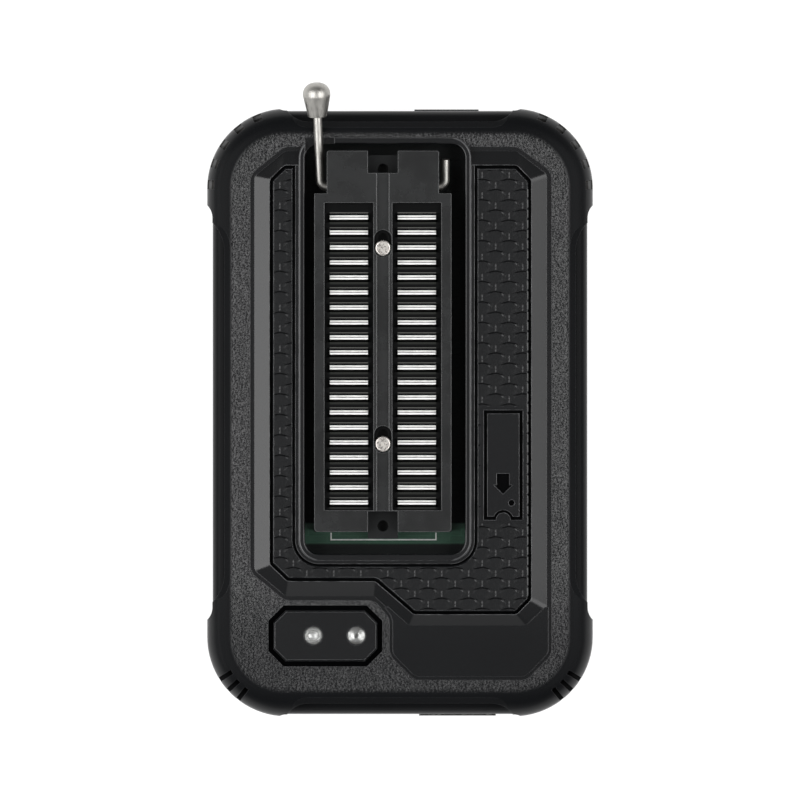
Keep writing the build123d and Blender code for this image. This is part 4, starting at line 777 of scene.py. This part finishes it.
def rounded_rectangle(x0, x1, y0, y1, radius, steps=6):
    """Return the outline of a rectangle with rounded corners, anticlockwise."""
    outline = []
    corners = ((x1 - radius, y1 - radius, 0), (x0 + radius, y1 - radius, 90),
               (x0 + radius, y0 + radius, 180), (x1 - radius, y0 + radius, 270))
    for cx, cy, start in corners:
        for step in range(steps + 1):
            angle = math.radians(start + 90 * step / steps)
            outline.append((cx + radius * math.cos(angle), cy + radius * math.sin(angle)))
    return outline


def join_shapes(shapes):
    """Return several shapes' points and faces as one list each."""
    points = []
    faces = []
    for shape_points, shape_faces in shapes:
        start = len(points)
        points += shape_points
        faces += [tuple(start + index for index in face) for face in shape_faces]
    return points, faces


# ---- scale pattern -------------------------------------------------------------------------------
def smooth_step(value):
    """Return an S-curve between 0 and 1."""
    value = max(0.0, min(1.0, value))
    return value * value * (3 - 2 * value)


def arch_gap(x):
    """Return how wide the dark gap over a scale is, at a distance from the scale's middle."""
    return ARCH_GAP * smooth_step((ARCH_HALF_SPAN - abs(x)) / ARCH_TAPER)


def gap_shade_strip(cx, cy):
    """Return the strip of painted shade that lies in the gap over one scale."""
    upper = []
    lower = []
    for step in range(ARCH_STEPS + 1):
        x = ARCH_HALF_SPAN * (2 * step / ARCH_STEPS - 1) * ARCH_FILL
        edge = cy + CELL_PITCH_Y / 2 + CELL_ARCH * math.cos(2 * math.pi * x / CELL_PITCH_X)
        upper.append((cx + x, edge))
        lower.append((cx + x, edge - arch_gap(x) - CELL_SEAM))
    return prism(lower + list(reversed(upper)), FIELD_TOP - CELL_ROOT, FIELD_TOP + ARCH_DEPTH)


def cell_columns():
    """Return the distances from a scale's middle at which its sections are taken."""
    inner_x = CELL_HALF_X - CELL_END_SLOPE
    end_x = CELL_HALF_X - CELL_END_SLOPE / 2
    columns = [-inner_x + 2 * inner_x * step / CELL_STEPS for step in range(CELL_STEPS + 1)]
    return [-CELL_HALF_X, -end_x, *columns, end_x, CELL_HALF_X]


def cell_section(x):
    """Return (y, height) pairs across a scale, feathered out below and steep along its upper arch."""
    half_y = CELL_PITCH_Y / 2
    wave = math.cos(2 * math.pi * x / CELL_PITCH_X)
    arch = smooth_step((wave - CELL_ARCH_START) / CELL_ARCH_SWING)
    low = -half_y - CELL_ARCH * wave + CELL_SEAM
    high = half_y + CELL_ARCH * wave - arch_gap(x) - CELL_SEAM
    crest = CELL_HEIGHT * (CELL_END_SHARE + (1 - CELL_END_SHARE) * arch)
    end_rise = smooth_step((CELL_HALF_X - abs(x)) / CELL_END_SLOPE)
    edge_slope = CELL_EDGE_SLOPE + CELL_END_FADE * (1 - arch)
    feather = min(CELL_FEATHER, high - edge_slope - low)
    section = []
    for y in (low, low + feather / 3, low + 2 * feather / 3, low + feather,
              (low + feather + high - edge_slope) / 2, high - edge_slope, high - edge_slope / 2, high):
        rise = smooth_step((y - low) / feather) * smooth_step((high - y) / edge_slope)
        section.append((y, crest * rise * end_rise))
    return section


def cell_shape(cx, cy):
    """Return one scale: proud above the panel's field, and closed underneath."""
    columns = cell_columns()
    points = [(cx + x, cy + y, FIELD_TOP + height) for x in columns for y, height in cell_section(x)]
    count = len(points)
    rows = count // len(columns)
    faces = [(a, a + rows, a + rows + 1, a + 1)
             for start in range(0, count - rows, rows) for a in range(start, start + rows - 1)]
    rim = [*range(0, count, rows), *range(count - rows + 1, count),
           *range(count - rows - 1, 0, -rows), *range(rows - 2, 0, -1)]
    points += [(points[index][0], points[index][1], FIELD_TOP - CELL_ROOT) for index in rim]
    for step in range(len(rim)):
        after = (step + 1) % len(rim)
        faces.append((rim[after], rim[step], count + step, count + after))
    faces.append(tuple(range(len(points) - 1, count - 1, -1)))
    return points, faces


def inset_outline(outline, inset):
    """Return a clockwise outline with every side moved inwards by the same distance."""
    moved = []
    for index, corner in enumerate(outline):
        before = Vector(outline[index - 1])
        here = Vector(corner)
        after = Vector(outline[(index + 1) % len(outline)])
        first = (here - before).normalized()
        second = (after - here).normalized()
        inward_first = Vector((first.y, -first.x))
        inward_second = Vector((second.y, -second.x))
        reach = inset / (1 + inward_first.dot(inward_second))
        moved.append(here + (inward_first + inward_second) * reach)
    return moved


def grid_numbers(values, origin, pitch):
    """Return the numbers of the grid lines that can reach a range of values."""
    first = math.floor((min(values) - origin) / pitch) - 1
    last = math.ceil((max(values) - origin) / pitch) + 1
    return range(first, last + 1)


def cell_places(field):
    """Return the middles of all the scales that can reach the field and stay clear of the socket."""
    origin_x, origin_y = CELL_ORIGIN
    columns = grid_numbers([x for x, _ in field], origin_x, CELL_PITCH_X)
    rows = grid_numbers([y for _, y in field], origin_y, CELL_PITCH_Y)
    guard_x0, guard_x1, guard_y0, _ = POCKET_GUARD
    places = []
    for row in rows:
        cy = origin_y + row * CELL_PITCH_Y
        shift = CELL_PITCH_X / 2 if row % 2 == 0 else 0.0
        for column in columns:
            cx = origin_x + column * CELL_PITCH_X + shift
            in_pocket = guard_x0 + CELL_PITCH_X < cx < guard_x1 - CELL_PITCH_X
            if not in_pocket or cy < guard_y0 + 2 * CELL_PITCH_Y:
                places.append((cx, cy))
    return places


def apply_boolean(piece, cutter, operation):
    """Cut a piece with another and delete the cutter."""
    change = piece.modifiers.new("cut", "BOOLEAN")
    change.operation = operation
    change.solver = "EXACT"
    change.object = cutter
    bpy.context.view_layer.update()
    result = bpy.data.meshes.new_from_object(piece.evaluated_get(bpy.context.evaluated_depsgraph_get()))
    piece.modifiers.clear()
    old = piece.data
    piece.data = result
    bpy.data.meshes.remove(old)
    bpy.data.objects.remove(cutter)


def fill_panel(name, shape, material):
    """Cover the panel with one shape per scale, trimmed to the field, the pocket and the symbol."""
    field = inset_outline(FIELD_OUTLINE, FIELD_INSET)
    points, faces = join_shapes([shape(cx, cy) for cx, cy in cell_places(field)])
    piece = make_object(name, points, faces, material)
    cuts = ((list(reversed(field)), "INTERSECT"),
            (rounded_rectangle(*POCKET_GUARD, POCKET_GUARD_RADIUS), "DIFFERENCE"),
            (rectangle(*SYMBOL_GUARD), "DIFFERENCE"))
    for outline, operation in cuts:
        cutter = make_object("cutter", *prism(outline, FIELD_TOP - CUT_REACH, FIELD_TOP + CUT_REACH))
        apply_boolean(piece, cutter, operation)
    piece.data.materials.clear()
    piece.data.materials.append(material)
    for face in piece.data.polygons:
        face.use_smooth = False
    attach(piece, "case")


# ---- ridges, printed mark and lamps --------------------------------------------------------------
def ridge_shape(x, y0, y1):
    """Return a low ridge that runs along Y on the panel."""
    half = RIDGE_WIDTH / 2
    root = FIELD_TOP - CELL_ROOT
    outline = [(x - half, root), (x + half, root), (x + half, FIELD_TOP),
               (x, FIELD_TOP + RIDGE_HEIGHT), (x - half, FIELD_TOP)]
    points, faces = prism(outline, -y1, -y0)
    return [(a, -c, b) for a, b, c in points], faces


def edge_ridges():
    """Make one ridge at the right-hand end of each row of scales."""
    low, high = RIDGE_SPAN
    starts = [low + row * CELL_PITCH_Y for row in range(math.floor((high - low) / CELL_PITCH_Y))]
    shapes = [ridge_shape(RIDGE_X, y, y + CELL_PITCH_Y - RIDGE_GAP) for y in starts]
    make_object("edge_ridges", *join_shapes(shapes), MATERIALS["scale_plastic"], "case", "case_plastic")


def board_marking():
    """Make the thin printed bracket on the board below the socket."""
    half = MARK_WIDTH / 2
    low = MARK_Y - half
    high = MARK_Y + half
    top = MARK_Y + MARK_TICK
    outline = [(MARK_LEFT - half, low), (MARK_RIGHT + half, low), (MARK_RIGHT + half, top),
               (MARK_RIGHT - half, top), (MARK_RIGHT - half, high), (MARK_LEFT + half, high),
               (MARK_LEFT + half, top), (MARK_LEFT - half, top)]
    bracket = prism(outline, BOARD_TOP, BOARD_TOP + MARK_THICKNESS)
    make_object("board_marking", *bracket, MATERIALS["printed_ink"], "case")


def lamp_inside(name, profile, material):
    """Make the turned reflector that shows through a clear lamp, from (radius, depth) pairs."""
    low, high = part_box(name)
    cx = (low.x + high.x) / 2 / MM
    cy = (low.y + high.y) / 2 / MM
    top = high.z / MM
    points, faces = turned([(radius, top - depth) for radius, depth in profile])
    make_object(name + "_reflector", [(cx + x, cy + y, z) for x, y, z in points], faces,
                material, "case", "tinned_metal")


# ---- dress the CAD nodes -------------------------------------------------------------------------
def dress_nodes():
    """Give every CAD node the material of the slot that the record gives it."""
    slots = {part["node"]: part["material_slot"] for part in frame["record"]["subparts"]}
    for name, piece in frame["nodes"].items():
        piece.data.materials.clear()
        piece.data.materials.append(MATERIALS[slots[name]])


# ---- studio --------------------------------------------------------------------------------------
def make_floor():
    """Make the pale floor, with a low lip at its far edge so that it fills low views."""
    steps = FLOOR_STEPS
    points = [(0.0, 0.0, 0.0), *ring(FLOOR_RADIUS, 0.0, steps),
              *ring(FLOOR_RADIUS * HORIZON_SPREAD, HORIZON_HEIGHT, steps)]
    faces = []
    for step in range(steps):
        after = (step + 1) % steps
        faces.append((0, 1 + step, 1 + after))
        faces.append((1 + step, 1 + steps + step, 1 + steps + after, 1 + after))
    make_object("studio_floor", points, faces, MATERIALS["studio_floor"])


def look_matrix(place, side):
    """Return a placement that looks at the object from a place, with its long axis along side."""
    z_axis = place.normalized()
    y_axis = side.normalized()
    x_axis = y_axis.cross(z_axis)
    turn = Matrix((x_axis, y_axis, z_axis)).transposed().to_4x4()
    return Matrix.Translation(place) @ turn


def softbox(name, azimuth, tilt, radiance, width, length):
    """Add a rectangular soft light, turned to the object; angles are in degrees."""
    lamp = bpy.data.lights.new(name, "AREA")
    lamp.shape = "RECTANGLE"
    lamp.size = width * MM
    lamp.size_y = length * MM
    lamp.energy = radiance * math.pi * lamp.size * lamp.size_y
    holder = link_object(name, lamp)
    around = math.radians(azimuth)
    off = math.radians(tilt)
    away = Vector((math.sin(off) * math.cos(around), math.sin(off) * math.sin(around), math.cos(off)))
    side = Vector((-math.sin(around), math.cos(around), 0))
    holder.matrix_world = look_matrix(away * SOFTBOX_DISTANCE * MM, side)
    holder.visible_camera = False


def make_world():
    """Make the dim, even surroundings."""
    world = bpy.data.worlds.new("studio_world")
    world.use_nodes = True
    background = world.node_tree.nodes["Background"].inputs
    background["Color"].default_value = (1.0, 1.0, 1.0, 1)
    background["Strength"].default_value = WORLD_STRENGTH
    bpy.context.scene.world = world


def make_camera():
    """Make the overhead camera with a long lens."""
    lens = bpy.data.cameras.new("overhead")
    lens.sensor_width = SENSOR_WIDTH
    lens.lens = SENSOR_WIDTH * CAMERA_DISTANCE / VIEW_WIDTH
    lens.clip_start, lens.clip_end = CLIP_METRES
    camera = link_object("overhead", lens)
    camera.location = Vector((*VIEW_CENTRE, VIEW_LEVEL + CAMERA_DISTANCE)) * MM
    bpy.context.scene.camera = camera


dress_nodes()
fill_panel("panel_scales", cell_shape, MATERIALS["scale_plastic"])
# painted shade: near-black strips in the gaps over the scales
fill_panel("panel_gap_shade", gap_shade_strip, MATERIALS["gap_black"])
edge_ridges()
board_marking()
lamp_inside("power_led", RINGED_REFLECTOR, MATERIALS["lamp_foil"])
lamp_inside("run_led", CONE_REFLECTOR, MATERIALS["lamp_cone"])
make_floor()
make_world()
for settings in SOFTBOXES:
    softbox(*settings)
make_camera()
bpy.context.scene.view_settings.view_transform = "Standard"
